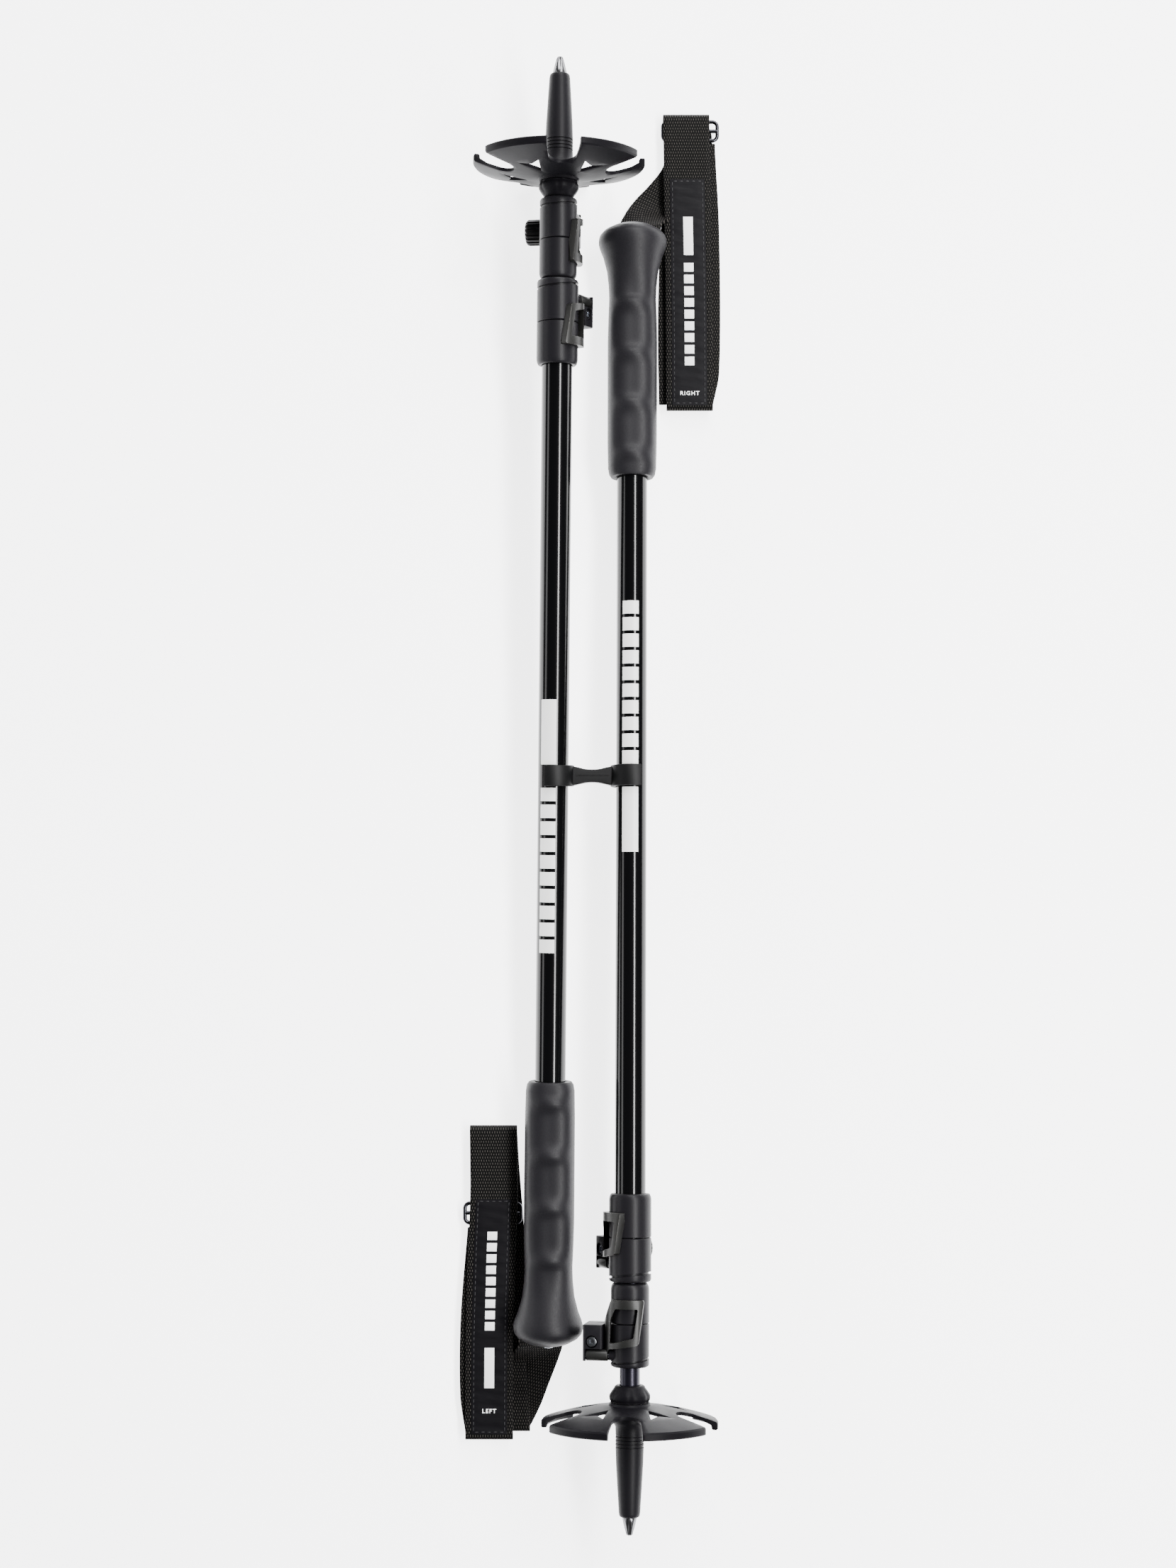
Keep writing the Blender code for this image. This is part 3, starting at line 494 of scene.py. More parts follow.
highlight_share = add(webbing, "MapRange", {"From Min": 0.14, "From Max": 0.40},
                  {"Value": crown_highlight.outputs[0]})
# Painted shade and highlight: near black in the hollows between floats, lighter grey on their crowns.
thread = add(webbing, "Mix", {"data_type": "RGBA", 6: paint("020202"), 7: paint("43403d")},
             {"Factor": highlight_share.outputs["Result"]})
relief = add(webbing, "Bump", {"Strength": 0.9, "Distance": 0.0004},
             {"Height": floats.outputs[0]})
feed(webbing_shader, {"Base Color": thread.outputs[2], "Normal": relief.outputs["Normal"]})

for side in SIDES:
    strap, cut_length = lay_grid(f"{side}_webbing_strap", COURSES[side], WEBBING, 0.0011, 10)
    wall = strap.modifiers.new("thickness", "SOLIDIFY")
    wall.thickness, wall.offset = WEBBING_T, 0
    soft_edge = strap.modifiers.new("selvedge", "BEVEL")
    soft_edge.width, soft_edge.segments, soft_edge.limit_method = 0.00045, 2, "ANGLE"
    soft_edge.angle_limit = math.radians(60)
    apply_all(strap)
    finish_piece(smooth(strap, 60), webbing, f"{side}_upper", "webbing", f"{side}_strap")
    print(f"{side} strap: {1000 * cut_length:.1f} mm of webbing")

# ---- Strap labels: a satin ribbon sewn on the top of each strap with a running stitch along its
# four edges, woven with plain white blocks and the word for its hand.
LABEL_WIDTH, LABEL_T = 0.0187, 0.00035
LABEL_ENDS = {"left": (-0.2178, -0.3405), "right": (0.3298, 0.2060)}
LABEL_Z = LAYER_Z[3] + WEBBING_T / 2 + 0.00022
STITCH_PITCH, STITCH_INSET = 0.0029, 0.0012


def strap_x(side, y):
    """The middle of a strap's top layer at y."""
    points = TOP_LAYER[side]
    for (x0, y0), (x1, y1) in zip(points, points[1:]):
        if min(y0, y1) <= y <= max(y0, y1):
            return x0 + (x1 - x0) * (y - y0) / (y1 - y0)
    return points[-1][0] if abs(y - points[-1][1]) < abs(y - points[0][1]) else points[0][0]


# Satin ribbon: fine black warp with a soft sheen, puckered a little across by its stitching.
satin, satin_shader = new_material("black_satin_ribbon", "08070a", roughness=0.50, specular=0.09)
place_node = add(satin, "TexCoord")
across_map = add(satin, "Mapping", {"Scale": (60, 210, 60)},
                 {"Vector": place_node.outputs["Object"]})
pucker = add(satin, "TexNoise", {"Scale": 1.0, "Detail": 2.0},
             {"Vector": across_map.outputs["Vector"]})
warp = add(satin, "TexNoise", {"Scale": 3000.0}, {"Vector": place_node.outputs["Object"]})
folds = add(satin, "Bump", {"Strength": 0.5, "Distance": 0.0009},
            {"Height": pucker.outputs["Fac"]})
fine = add(satin, "Bump", {"Strength": 0.25, "Distance": 0.00006},
           {"Height": warp.outputs["Fac"], "Normal": folds.outputs["Normal"]})
feed(satin_shader, {"Normal": fine.outputs["Normal"]})
sewing_thread, _ = new_material("bonded_nylon_thread", "1d1c1f", roughness=0.5)
white_weave, _ = new_material("white_woven_yarn", "ffffff", roughness=0.7, Sheen_Weight=0.1)


def on_label(obj, side):
    """Lets a piece made round x = 0 follow the curve of the strap below it."""
    for vertex in obj.data.vertices:
        vertex.co.x += strap_x(side, vertex.co.y)


def stitch(at, turn):
    """One stitch: a short thread, sunk at both ends."""
    bpy.ops.mesh.primitive_uv_sphere_add(segments=6, ring_count=5, radius=0.00024, location=at,
                                         rotation=(math.pi / 2, 0, turn))
    bpy.context.object.scale = (1, 1, 4.4)
    bpy.ops.object.transform_apply()


for side in SIDES:
    first, last = LABEL_ENDS[side]
    ys = [first + (last - first) * k / 24 for k in range(25)]
    course = [(Vector((strap_x(side, y), y, LABEL_Z)), Vector((1 if side == "left" else -1, 0, 0)))
              for y in ys]
    label, label_length = lay_grid(f"{side}_satin_label", course, LABEL_WIDTH, 0.0008, 16)
    for vertex in label.data.vertices:
        edge = 1 - abs(vertex.co.x - strap_x(side, vertex.co.y)) / (LABEL_WIDTH / 2)
        ripple = math.sin(vertex.co.y * 900) * math.sin(vertex.co.y * 217 + vertex.co.x * 130)
        vertex.co.z += 0.00012 * min(1, edge * 2.5) * (1 + ripple)
    wall = label.modifiers.new("thickness", "SOLIDIFY")
    wall.thickness, wall.offset = LABEL_T, 0
    apply_all(label)
    finish_piece(smooth(label, 60), satin, f"{side}_upper", "satin_label", f"{side}_strap_label")
    print(f"{side} label: {1000 * label_length:.1f} mm of ribbon")

    length = abs(last - first) - 2 * STITCH_INSET
    low = min(first, last) + STITCH_INSET
    half = LABEL_WIDTH / 2 - STITCH_INSET
    stitch_z = LABEL_Z + LABEL_T / 2 + 0.00008
    count = int(length / STITCH_PITCH)
    stitch((-half, low + STITCH_PITCH / 2, stitch_z), 0)
    side_rows = row_of(f"{side}_label_stitches", 2, count, 2 * half, length / count)
    count = int(2 * half / STITCH_PITCH)
    stitch((-half + half / count, low, stitch_z), math.pi / 2)
    end_rows = row_of("end_rows", count, 2, 2 * half / count, length)
    select_only(side_rows, end_rows)
    bpy.ops.object.join()
    on_label(side_rows, side)
    finish_piece(smooth(side_rows, 60), sewing_thread, f"{side}_upper", "satin_label")

WOVEN_T = 0.00022
WOVEN_BLOCKS = {"left": (-0.2865, 0.0044, 0.0015, -0.3165), "right": (0.2277, 0.0048, 0.0016, 0.2880)}
WORD_AT = {"left": ("LEFT", -0.3285), "right": ("RIGHT", 0.2125)}
for side in SIDES:
    low, length, gap, bar_low = WOVEN_BLOCKS[side]
    for group, (start, count, size) in enumerate(((low, 9, length), (bar_low, 1, 0.0210))):
        bpy.ops.mesh.primitive_cube_add(size=1)
        block = bpy.context.object
        block.scale = (0.0052, size, WOVEN_T)
        block.location = (0, start + size / 2, LABEL_Z + LABEL_T / 2 + 0.00022)
        bpy.ops.object.transform_apply()
        rim = block.modifiers.new("rim", "BEVEL")
        rim.width, rim.segments = 0.00009, 2
        row_of(f"{side}_woven_block_{group}", 1, count, 0, length + gap)
        on_label(block, side)
        finish_piece(smooth(block), white_weave, f"{side}_upper", "satin_label")
    word, y = WORD_AT[side]
    bpy.ops.object.text_add(location=(0, y, LABEL_Z + LABEL_T / 2 + 0.00012))
    letters = bpy.context.object
    letters.name = f"{side}_hand_word"
    letters.data.body = word
    letters.data.size, letters.data.align_x, letters.data.align_y = 0.0031, "CENTER", "CENTER"
    letters.data.space_character, letters.data.extrude, letters.data.offset = 1.22, 0.0001, 0.00007
    letters.data.resolution_u = 3
    bpy.ops.object.convert(target="MESH")
    bpy.ops.object.transform_apply()
    bpy.ops.object.mode_set(mode="EDIT")
    bpy.ops.mesh.select_all(action="SELECT")
    bpy.ops.mesh.remove_doubles(threshold=0.000001)
    bpy.ops.object.mode_set(mode="OBJECT")
    on_label(letters, side)
    finish_piece(letters, white_weave, f"{side}_upper", "satin_label")

# ---- Strap buckles: a slider bent from 2.1 mm steel wire with a middle bar, blackened and glossy,
# that the webbing runs through.
BUCKLE_LENGTH, BUCKLE_WIDTH, WIRE = 0.0316, 0.0124, 0.0021
BUCKLE_AT = {"left": (-0.0523, -0.2255), "right": (0.0535, 0.3571)}
black_steel, _ = new_material("black_nickel_wire", "3a3a3e", roughness=0.22, metallic=1.0)


def wire_along(name, points, cyclic):
    """A round wire through points, made a mesh."""
    bpy.ops.curve.primitive_bezier_curve_add()
    wire = bpy.context.object
    wire.name = name
    curve = wire.data
    curve.splines.clear()
    spline = curve.splines.new("POLY")
    spline.points.add(len(points) - 1)
    for point, place in zip(spline.points, points):
        point.co = (*place, 1)
    spline.use_cyclic_u = cyclic
    curve.bevel_depth, curve.bevel_resolution, curve.use_fill_caps = WIRE / 2, 4, True
    bpy.ops.object.convert(target="MESH")
    return wire


for side in SIDES:
    x, y = BUCKLE_AT[side]
    half_x, half_y, corner = (BUCKLE_LENGTH - WIRE) / 2, (BUCKLE_WIDTH - WIRE) / 2, 0.0026
    loop = []
    for quarter, (cx, cy) in enumerate(((1, 1), (-1, 1), (-1, -1), (1, -1))):
        for k in range(7):
            a = math.pi / 2 * (quarter + k / 6)
            loop.append((x + cx * (half_x - corner) + corner * math.cos(a),
                         y + cy * (half_y - corner) + corner * math.sin(a), LAYER_Z[2]))
    ring = wire_along(f"{side}_wire_buckle", loop, True)
    bar = wire_along("bar", [(x - half_x, y, LAYER_Z[2]), (x + half_x, y, LAYER_Z[2])], False)
    select_only(ring, bar)
    bpy.ops.object.join()
    finish_piece(smooth(ring, 60), black_steel, f"{side}_upper", "bright_steel", f"{side}_strap_buckle")

# ---- Clamp sleeves: the fixed half of each clamp, a smooth tube of glass-filled nylon, rounded at
# its grip end and pressed on the end of the tube that it holds.
CLAMPS = {"upper": {"at": 0.5140, "body": 0.0109, "tube": UPPER_R, "inner": MIDDLE_R,
                    "length": 0.0448, "split": 0.0223, "lever": 0.0094, "rides": "upper"},
          "lower": {"at": 0.5593, "body": 0.0099, "tube": MIDDLE_R, "inner": LOWER_R,
                    "length": 0.0424, "split": 0.0205, "lever": 0.0080, "rides": "middle"}}
LEVER_TURNS = {"left_upper": 58, "left_lower": 80, "right_upper": 62, "right_lower": 10}
GAP = 0.0003
EACH_CLAMP = []
for side in SIDES:
    for which, clamp in CLAMPS.items():
        name = f"{side}_{which}"
        place = (PLACE[side] @ Matrix.Translation((0, clamp["at"], 0))
                 @ Matrix.Rotation(math.radians(LEVER_TURNS[name]), 4, "Y"))
        EACH_CLAMP.append((name, f"{side}_{clamp['rides']}", clamp, clamp["body"], place))

# Glass-filled nylon: dark grey, moulded with a fine spark texture that spreads every highlight
# into a soft band. The texture is drawn at 0.5 mm, about twice the real one.
nylon, nylon_shader = new_material("moulded_glass_filled_nylon", "151417", roughness=0.40,
                                   specular=0.12)
spark = grain_relief(nylon, nylon_shader, 0.22, 0.00006, Scale=2000.0, Detail=2.0)
matt = add(nylon, "MapRange", {"To Min": 0.33, "To Max": 0.42}, {"Value": spark})
feed(nylon_shader, {"Roughness": matt.outputs["Result"]})

for name, rides, clamp, body, place in EACH_CLAMP:
    bore = clamp["tube"] + GAP
    rounding = [(bore + 0.0012 + (body - bore - 0.0012) * math.sin(math.pi / 2 * k / 8),
                 0.0036 * (1 - math.cos(math.pi / 2 * k / 8))) for k in range(9)]
    sleeve = turned_piece(f"{name}_nylon_sleeve", [(bore, 0)] + rounding
                          + [(body, clamp["split"] - 0.0005), (body - 0.0003, clamp["split"] - 0.0002),
                             (bore, clamp["split"] - 0.0002)], 72)
    finish_piece(put(smooth(sleeve), place), nylon, rides, "nylon", f"{name}_sleeve")

# ---- Clamp collars: the split band of each clamp with its lug, moulded in one with a groove round
# its end, a slit that lets it close, a recess for the bolt head and two cheeks for the lever's pin.
LUG_END, LUG_OUT, LUG_TOP, LUG_BOTTOM, LUG_STEP = 0.0394, 0.0234, 0.0080, -0.0110, 0.0009
BOLT_X, BOLT_Y, BOLT_R, BOLT_HEAD_R = 0.0187, 0.0296, 0.0024, 0.0029
PIN_Y, PIN_Z, PIN_R, BARREL_R = 0.0364, 0.0051, 0.0010, 0.0029
LEVER_WALL, LEVER_GAP = 0.0027, 0.0004
GROOVE_ROLL, GROOVE_TILT, GROOVE_HALF = math.radians(57), math.radians(-7), 0.0006


def plate(name, outline, low, high, along, corner=0.0):
    """A disc pulled to an outline, its corners rounded, and drawn out along Y or Z."""
    bpy.ops.mesh.primitive_circle_add(vertices=len(outline), fill_type="NGON")
    obj = bpy.context.object
    obj.name = name
    for vertex, (a, b) in zip(obj.data.vertices, outline):
        vertex.co = (a, low, b) if along == "Y" else (a, b, low)
    bpy.ops.object.mode_set(mode="EDIT")
    bpy.ops.mesh.select_all(action="SELECT")
    if corner:
        bpy.ops.mesh.bevel(offset=corner, segments=4, affect="VERTICES")
        bpy.ops.mesh.select_all(action="SELECT")
    step = (0, high - low, 0) if along == "Y" else (0, 0, high - low)
    bpy.ops.mesh.extrude_region_move(TRANSFORM_OT_translate={"value": step})
    bpy.ops.mesh.select_all(action="SELECT")
    bpy.ops.mesh.normals_make_consistent(inside=False)
    bpy.ops.object.mode_set(mode="OBJECT")
    return obj


def box_between(name, low, high):
    return plate(name, [(low[0], low[1]), (high[0], low[1]), (high[0], high[1]), (low[0], high[1])],
                 low[2], high[2], "Z")


def rod(name, radius, low, high, axis, at=(0, 0, 0), steps=32):
    """A round bar along X or Z, from low to high."""
    along, turn = {"X": ((1, 0, 0), math.pi / 2), "Z": ((0, 0, 1), 0)}[axis]
    bpy.ops.mesh.primitive_cylinder_add(vertices=steps, radius=radius, depth=high - low,
                                        location=Vector(at) + Vector(along) * (low + high) / 2,
                                        rotation=(0, turn, 0))
    obj = bpy.context.object
    obj.name = name
    bpy.ops.object.transform_apply()
    return obj


def boolean(obj, operation, *tools):
    """Joins tools to a piece, cuts them away or keeps what is inside them."""
    for tool in tools:
        step = obj.modifiers.new(operation, "BOOLEAN")
        step.operation, step.solver, step.object = operation, "EXACT", tool
        apply_all(obj)
        bpy.data.objects.remove(tool)


def clean(obj, bevel, segments=2, degrees=30, worn=None):
    """Merges doubles and rounds a piece's sharp edges, in another finish where they are worn."""
    select_only(obj)
    bpy.ops.object.mode_set(mode="EDIT")
    bpy.ops.mesh.select_all(action="SELECT")
    bpy.ops.mesh.remove_doubles(threshold=0.00002)
    bpy.ops.mesh.dissolve_limited(angle_limit=math.radians(1))
    bpy.ops.object.mode_set(mode="OBJECT")
    edge = obj.modifiers.new("edge", "BEVEL")
    edge.width, edge.segments, edge.limit_method = bevel, segments, "ANGLE"
    edge.angle_limit = math.radians(degrees)
    if worn is not None:
        edge.material = worn
    apply_all(obj)


for name, rides, clamp, body, place in EACH_CLAMP:
    start, end = clamp["split"] + 0.0002, clamp["length"]
    bore, lip = clamp["tube"] + GAP, clamp["inner"] + GAP
    collar = turned_piece(f"{name}_nylon_collar",
                          [(bore, start), (body - 0.0003, start), (body, start + 0.0003),
                           (body, end - 0.0012), (body - 0.0004, end - 0.0004),
                           (body - 0.0012, end), (lip, end), (lip, end - 0.0009),
                           (bore, end - 0.0009)], 64)
    upper_x = body + 2 * LEVER_GAP + LEVER_WALL
    root_x = clamp["tube"] + 0.0008
    lug = plate("lug", [(root_x, LUG_BOTTOM + 0.002), (root_x + 0.003, LUG_BOTTOM),
                        (LUG_OUT - 0.0015, LUG_BOTTOM), (LUG_OUT, LUG_BOTTOM + 0.0015),
                        (LUG_OUT, LUG_TOP - 0.0010), (LUG_OUT - 0.0010, LUG_TOP),
                        (upper_x, LUG_TOP), (upper_x, LUG_STEP), (root_x, LUG_STEP)],
                clamp["split"] + 0.0005, LUG_END, "Y")
    clean(lug, 0.0005)
    boolean(collar, "UNION", lug)
    pocket = box_between("pocket", (body + 0.0003, PIN_Y - BARREL_R - 0.0004, LUG_STEP),
                         (LUG_OUT - 0.0014, LUG_END + 0.002, LUG_TOP + 0.002))
    boolean(collar, "DIFFERENCE", pocket)
    boolean(collar, "UNION", rod("cheek", 0.0025, root_x - 0.0006, body - 0.0002, "X",
                                 (0, PIN_Y, PIN_Z)))
    groove_in, groove_out = body - 0.0012, 0.0135
    groove = turned_piece("groove", [(groove_in, -GROOVE_HALF), (groove_out, -GROOVE_HALF),
                                     (groove_out, GROOVE_HALF), (groove_in, GROOVE_HALF)], 64)
    put(groove, Matrix.Translation((0, end - 0.0034, 0))
        @ Matrix.Rotation(GROOVE_ROLL, 4, "Y") @ Matrix.Rotation(GROOVE_TILT, 4, "X"))
    slit = box_between("slit", (0.0010, start - 0.001, -0.0050), (LUG_OUT + 0.001, end + 0.001, -0.0036))
    bolt_hole = rod("hole", BOLT_R + GAP, LUG_BOTTOM - 0.001, LUG_TOP + 0.001, "Z",
                    (BOLT_X, BOLT_Y, 0))
    recess = rod("recess", BOLT_HEAD_R + GAP, LUG_TOP - 0.0045, LUG_TOP + 0.001, "Z",
                 (BOLT_X, BOLT_Y, 0))
    pin_hole = rod("pin_hole", PIN_R + GAP, body - 0.0020, LUG_OUT + 0.001, "X",
                   (0, PIN_Y, PIN_Z), 20)
    boolean(collar, "DIFFERENCE", groove, slit, bolt_hole, recess, pin_hole)
    finish_piece(put(smooth(collar, 30), place), nylon, rides, "nylon", f"{name}_collar")

# ---- Levers: a die-cast alloy frame with a window, curved to hug the clamp, and a barrel at its
# end that turns on the pin. It is coated gunmetal, with the coating worn thin along its edges.
LEVER_FROM, LEVER_SWEEP = -46, 128
gunmetal, gunmetal_shader = new_material("gunmetal_coated_casting", None, roughness=0.40,
                                         metallic=0.45)
blast = grain_relief(gunmetal, gunmetal_shader, 0.25, 0.00006, Scale=1500.0, Detail=3.0)
coat = add(gunmetal, "Mix", {"data_type": "RGBA", 6: paint("1d1d1c"), 7: paint("272726")},
           {"Factor": blast})
feed(gunmetal_shader, {"Base Color": coat.outputs[2]})
worn_edge, _ = new_material("worn_casting_edge", "706f6b", roughness=0.34, metallic=0.6)
for name, rides, clamp, body, place in EACH_CLAMP:
    far = clamp["lever"]
    inner, outer = body + LEVER_GAP, body + LEVER_GAP + LEVER_WALL
    turns = [math.radians(LEVER_FROM + LEVER_SWEEP * k / 24) for k in range(25)]
    shell = [(outer * math.sin(a), outer * math.cos(a)) for a in turns]
    shell += [(inner * math.sin(a), inner * math.cos(a)) for a in reversed(turns)]
    lever = plate(f"{name}_cast_lever", shell, 0.004, PIN_Y + 0.001, "Y")
    outline = plate("outline", [(-0.0088, far), (0.0084, far), (outer + 0.0001, far + 0.0125),
                                (outer + 0.0001, PIN_Y), (body + 0.0007, PIN_Y),
                                (body + 0.0002, 0.0330), (-0.0060, 0.0306)],
                    -0.002, 0.020, "Z", 0.0011)
    window = plate("window", [(-0.0059, far + 0.0044), (0.0060, far + 0.0044), (0.0086, 0.0180),
                              (0.0092, 0.0300), (0.0070, 0.0298), (-0.0037, 0.0270)],
                   -0.002, 0.020, "Z", 0.0008)
    boolean(lever, "INTERSECT", outline)
    boolean(lever, "DIFFERENCE", window)
    lever.data.materials.clear()
    lever.data.materials.append(gunmetal)
    lever.data.materials.append(worn_edge)
    clean(lever, 0.00032, 3, 40, worn=1)
    barrel = rod("barrel", BARREL_R, body + 0.0006, LUG_OUT - 0.0018, "X", (0, PIN_Y, PIN_Z), 48)
    clean(barrel, 0.0004, 3)
    barrel.data.materials.append(gunmetal)
    boolean(lever, "UNION", barrel)
    boolean(lever, "DIFFERENCE", rod("pin_hole", PIN_R + GAP, 0, LUG_OUT, "X", (0, PIN_Y, PIN_Z), 20))
    smooth(lever, 40)
    put(lever, place)
    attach(lever, f"{name}_lever")
    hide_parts(f"{name}_lever")

# ---- Clamp bolts and pins: bright zinc-plated steel. The bolt's round head lies in the lug's
# recess with a hexagon socket; the pin that the lever turns on passes across both cheeks.
KNOB_R, KNOB_LENGTH = 0.0069, 0.0095
KNOB_TOP = LUG_BOTTOM - GAP
KNOB_LOW = KNOB_TOP - KNOB_LENGTH
steel, steel_shader = new_material("zinc_plated_steel", "b9bcc2", roughness=0.18, metallic=1.0)
place_node = add(steel, "TexCoord")
plating = add(steel, "TexNoise", {"Scale": 900.0, "Detail": 2.0},
              {"Vector": place_node.outputs["Object"]})
plating_sheen = add(steel, "MapRange", {"To Min": 0.12, "To Max": 0.28},
                    {"Value": plating.outputs["Fac"]})
feed(steel_shader, {"Roughness": plating_sheen.outputs["Result"]})
for name, rides, clamp, body, place in EACH_CLAMP:
    head_top = LUG_TOP - 0.0008
    bolt = turned_piece(f"{name}_steel_bolt",
                        [(BOLT_R, KNOB_LOW + 0.0004), (BOLT_R, LUG_TOP - 0.0042),
                         (BOLT_HEAD_R, LUG_TOP - 0.0042), (BOLT_HEAD_R, head_top - 0.0009),
                         (BOLT_HEAD_R - 0.0003, head_top - 0.0003), (BOLT_HEAD_R - 0.0010, head_top)],
                        32, shell=False)
    put(bolt, Matrix.Rotation(math.pi / 2, 4, "X"))
    boolean(bolt, "DIFFERENCE", rod("socket", 0.00145, head_top - 0.0015, head_top + 0.001, "Z", steps=6))
    finish_piece(put(smooth(bolt), place @ Matrix.Translation((BOLT_X, BOLT_Y, 0))), steel, rides,
                 "bright_steel", f"{name}_bolt")
    pin = rod(f"{name}_steel_pin", PIN_R, body - 0.0017, LUG_OUT - 0.0002, "X", (0, PIN_Y, PIN_Z), 24)
    clean(pin, 0.0002)
    finish_piece(put(smooth(pin), place), steel, rides, "bright_steel", f"{name}_pin")

# ---- Adjusting knobs: ribbed nylon thimbles moulded over the nut on each bolt, turned by thumb
# and finger. A shallow ring in the end shows the bolt's bright thread end.
RIBS, RIB_DEPTH = 18, 0.00075


def rib_depth(radius, y, turn):
    """How deep a knob's surface is between its ribs."""
    if radius <= KNOB_R - 0.0005 or y <= -KNOB_TOP + 0.0003:
        return 0
    return RIB_DEPTH * min(1, max(0, 0.5 - math.cos(RIBS * turn) * 0.9))


knob_nylon, knob_shader = new_material("moulded_black_nylon", "0c0c0d", roughness=0.34,
                                       specular=0.25)
grain_relief(knob_nylon, knob_shader, 0.2, 0.00005, Scale=1800.0)
for name, rides, clamp, body, place in EACH_CLAMP:
    # The turned end faces +Y here and becomes the knob's free end at -Z.
    knob = turned_piece(f"{name}_ribbed_knob",
                        [(BOLT_R + GAP, -KNOB_TOP), (KNOB_R - 0.0006, -KNOB_TOP),
                         (KNOB_R, -KNOB_TOP + 0.0006), (KNOB_R, -KNOB_LOW - 0.0016),
                         (KNOB_R - 0.0004, -KNOB_LOW - 0.0007), (KNOB_R - 0.0013, -KNOB_LOW),
                         (KNOB_R - 0.0020, -KNOB_LOW), (KNOB_R - 0.0023, -KNOB_LOW - 0.0012),
                         (BOLT_R + GAP, -KNOB_LOW - 0.0012)], RIBS * 6)
    press_in(knob, rib_depth)
    put(knob, Matrix.Rotation(-math.pi / 2, 4, "X"))
    finish_piece(put(smooth(knob, 40), place @ Matrix.Translation((BOLT_X, BOLT_Y, 0))), knob_nylon,
                 f"{name}_knob", "knob_nylon", f"{name}_knob")

# ---- Inner tubes: the 13 mm middle and 10 mm lower sections, drawn aluminium anodised near-black
# with a faint violet cast, that slide one in the other when a clamp is let go.
anodised, anodised_shader = new_material("dark_anodised_aluminium", "1c1a24", roughness=0.30,
                                         metallic=0.7)
place_node = add(anodised, "TexCoord")
draw_map = add(anodised, "Mapping", {"Scale": (1500, 25, 1500)},
               {"Vector": place_node.outputs["Object"]})
draw_lines = add(anodised, "TexNoise", {"Scale": 1.0, "Detail": 3.0},
                 {"Vector": draw_map.outputs["Vector"]})
draw_sheen = add(anodised, "MapRange", {"To Min": 0.24, "To Max": 0.38},
                 {"Value": draw_lines.outputs["Fac"]})
feed(anodised_shader, {"Roughness": draw_sheen.outputs["Result"]})
chamfer = 0.0002
INNER_TUBES = (("middle", MIDDLE_R, 0.1420, 0.6002), ("lower", LOWER_R, 0.1650, 0.6420))
for side in SIDES:
    for part, radius, start, end in INNER_TUBES:
        pulled = PULLED[side] if part == "lower" else 0
        start, end = start + pulled, end + pulled
        tube = turned_piece(f"{side}_{part}_anodised_tube",
                            [(radius - chamfer, start), (radius, start + chamfer), (radius, end - chamfer),
                             (radius - chamfer, end), (radius - TUBE_WALL, end),
                             (radius - TUBE_WALL, start)], 72)
        finish_piece(put(smooth(tube), PLACE[side]), anodised, f"{side}_{part}", "inner_tube",
                     f"{side}_{part}_tube")

# ---- Guide bushes: a nylon flange on the inner end of each sliding tube, hidden in the tube
# outside it, with a spigot pushed in its bore.
for side in SIDES:
    for part, holds, inside, start in (("middle", UPPER_R, MIDDLE_R, 0.1420),
                                       ("lower", MIDDLE_R, LOWER_R, 0.1650)):
        start += PULLED[side] if part == "lower" else 0
        flange, spigot = holds - TUBE_WALL - 0.0001, inside - TUBE_WALL - GAP
        bore = spigot - 0.0012
        bush = turned_piece(f"{side}_{part}_bush",
                            [(bore, start - 0.0080), (flange - 0.0004, start - 0.0080),
                             (flange, start - 0.0074), (flange, start - 0.0008),
                             (flange - 0.0002, start - GAP), (spigot, start - GAP),
                             (spigot, start + 0.0112), (spigot - 0.0005, start + 0.0120),
                             (bore, start + 0.0120)], 48)
        finish_piece(put(smooth(bush), PLACE[side]), nylon, f"{side}_{part}", "nylon",
                     f"{side}_{part}_guide")

# ---- Baskets: a five-petal dish moulded in tough black nylon, open toward the tip, with a deep
# round-ended notch between petals, an arrow-shaped window in each and a thick rim.
HUB_AT, RIM_FROM, RIM_AT = 0.6108, 0.0084, 0.0124
BASKET_R = 0.0452
PETALS, FIRST_NOTCH, NOTCH_WIDTH, NOTCH_END = 5, 4, 0.0150, 0.0330
basket_nylon, basket_shader = new_material("moulded_black_polyamide", "0f0e11", roughness=0.46,
                                           specular=0.05)
grain_relief(basket_nylon, basket_shader, 0.25, 0.00008, Scale=1300.0, Detail=2.0)
flow = add(basket_nylon, "TexNoise", {"Scale": 60.0, "Detail": 2.0},
           {"Vector": add(basket_nylon, "TexCoord").outputs["Object"]})
flow_sheen = add(basket_nylon, "MapRange", {"To Min": 0.34, "To Max": 0.50},
                 {"Value": flow.outputs["Fac"]})
feed(basket_shader, {"Roughness": flow_sheen.outputs["Result"]})
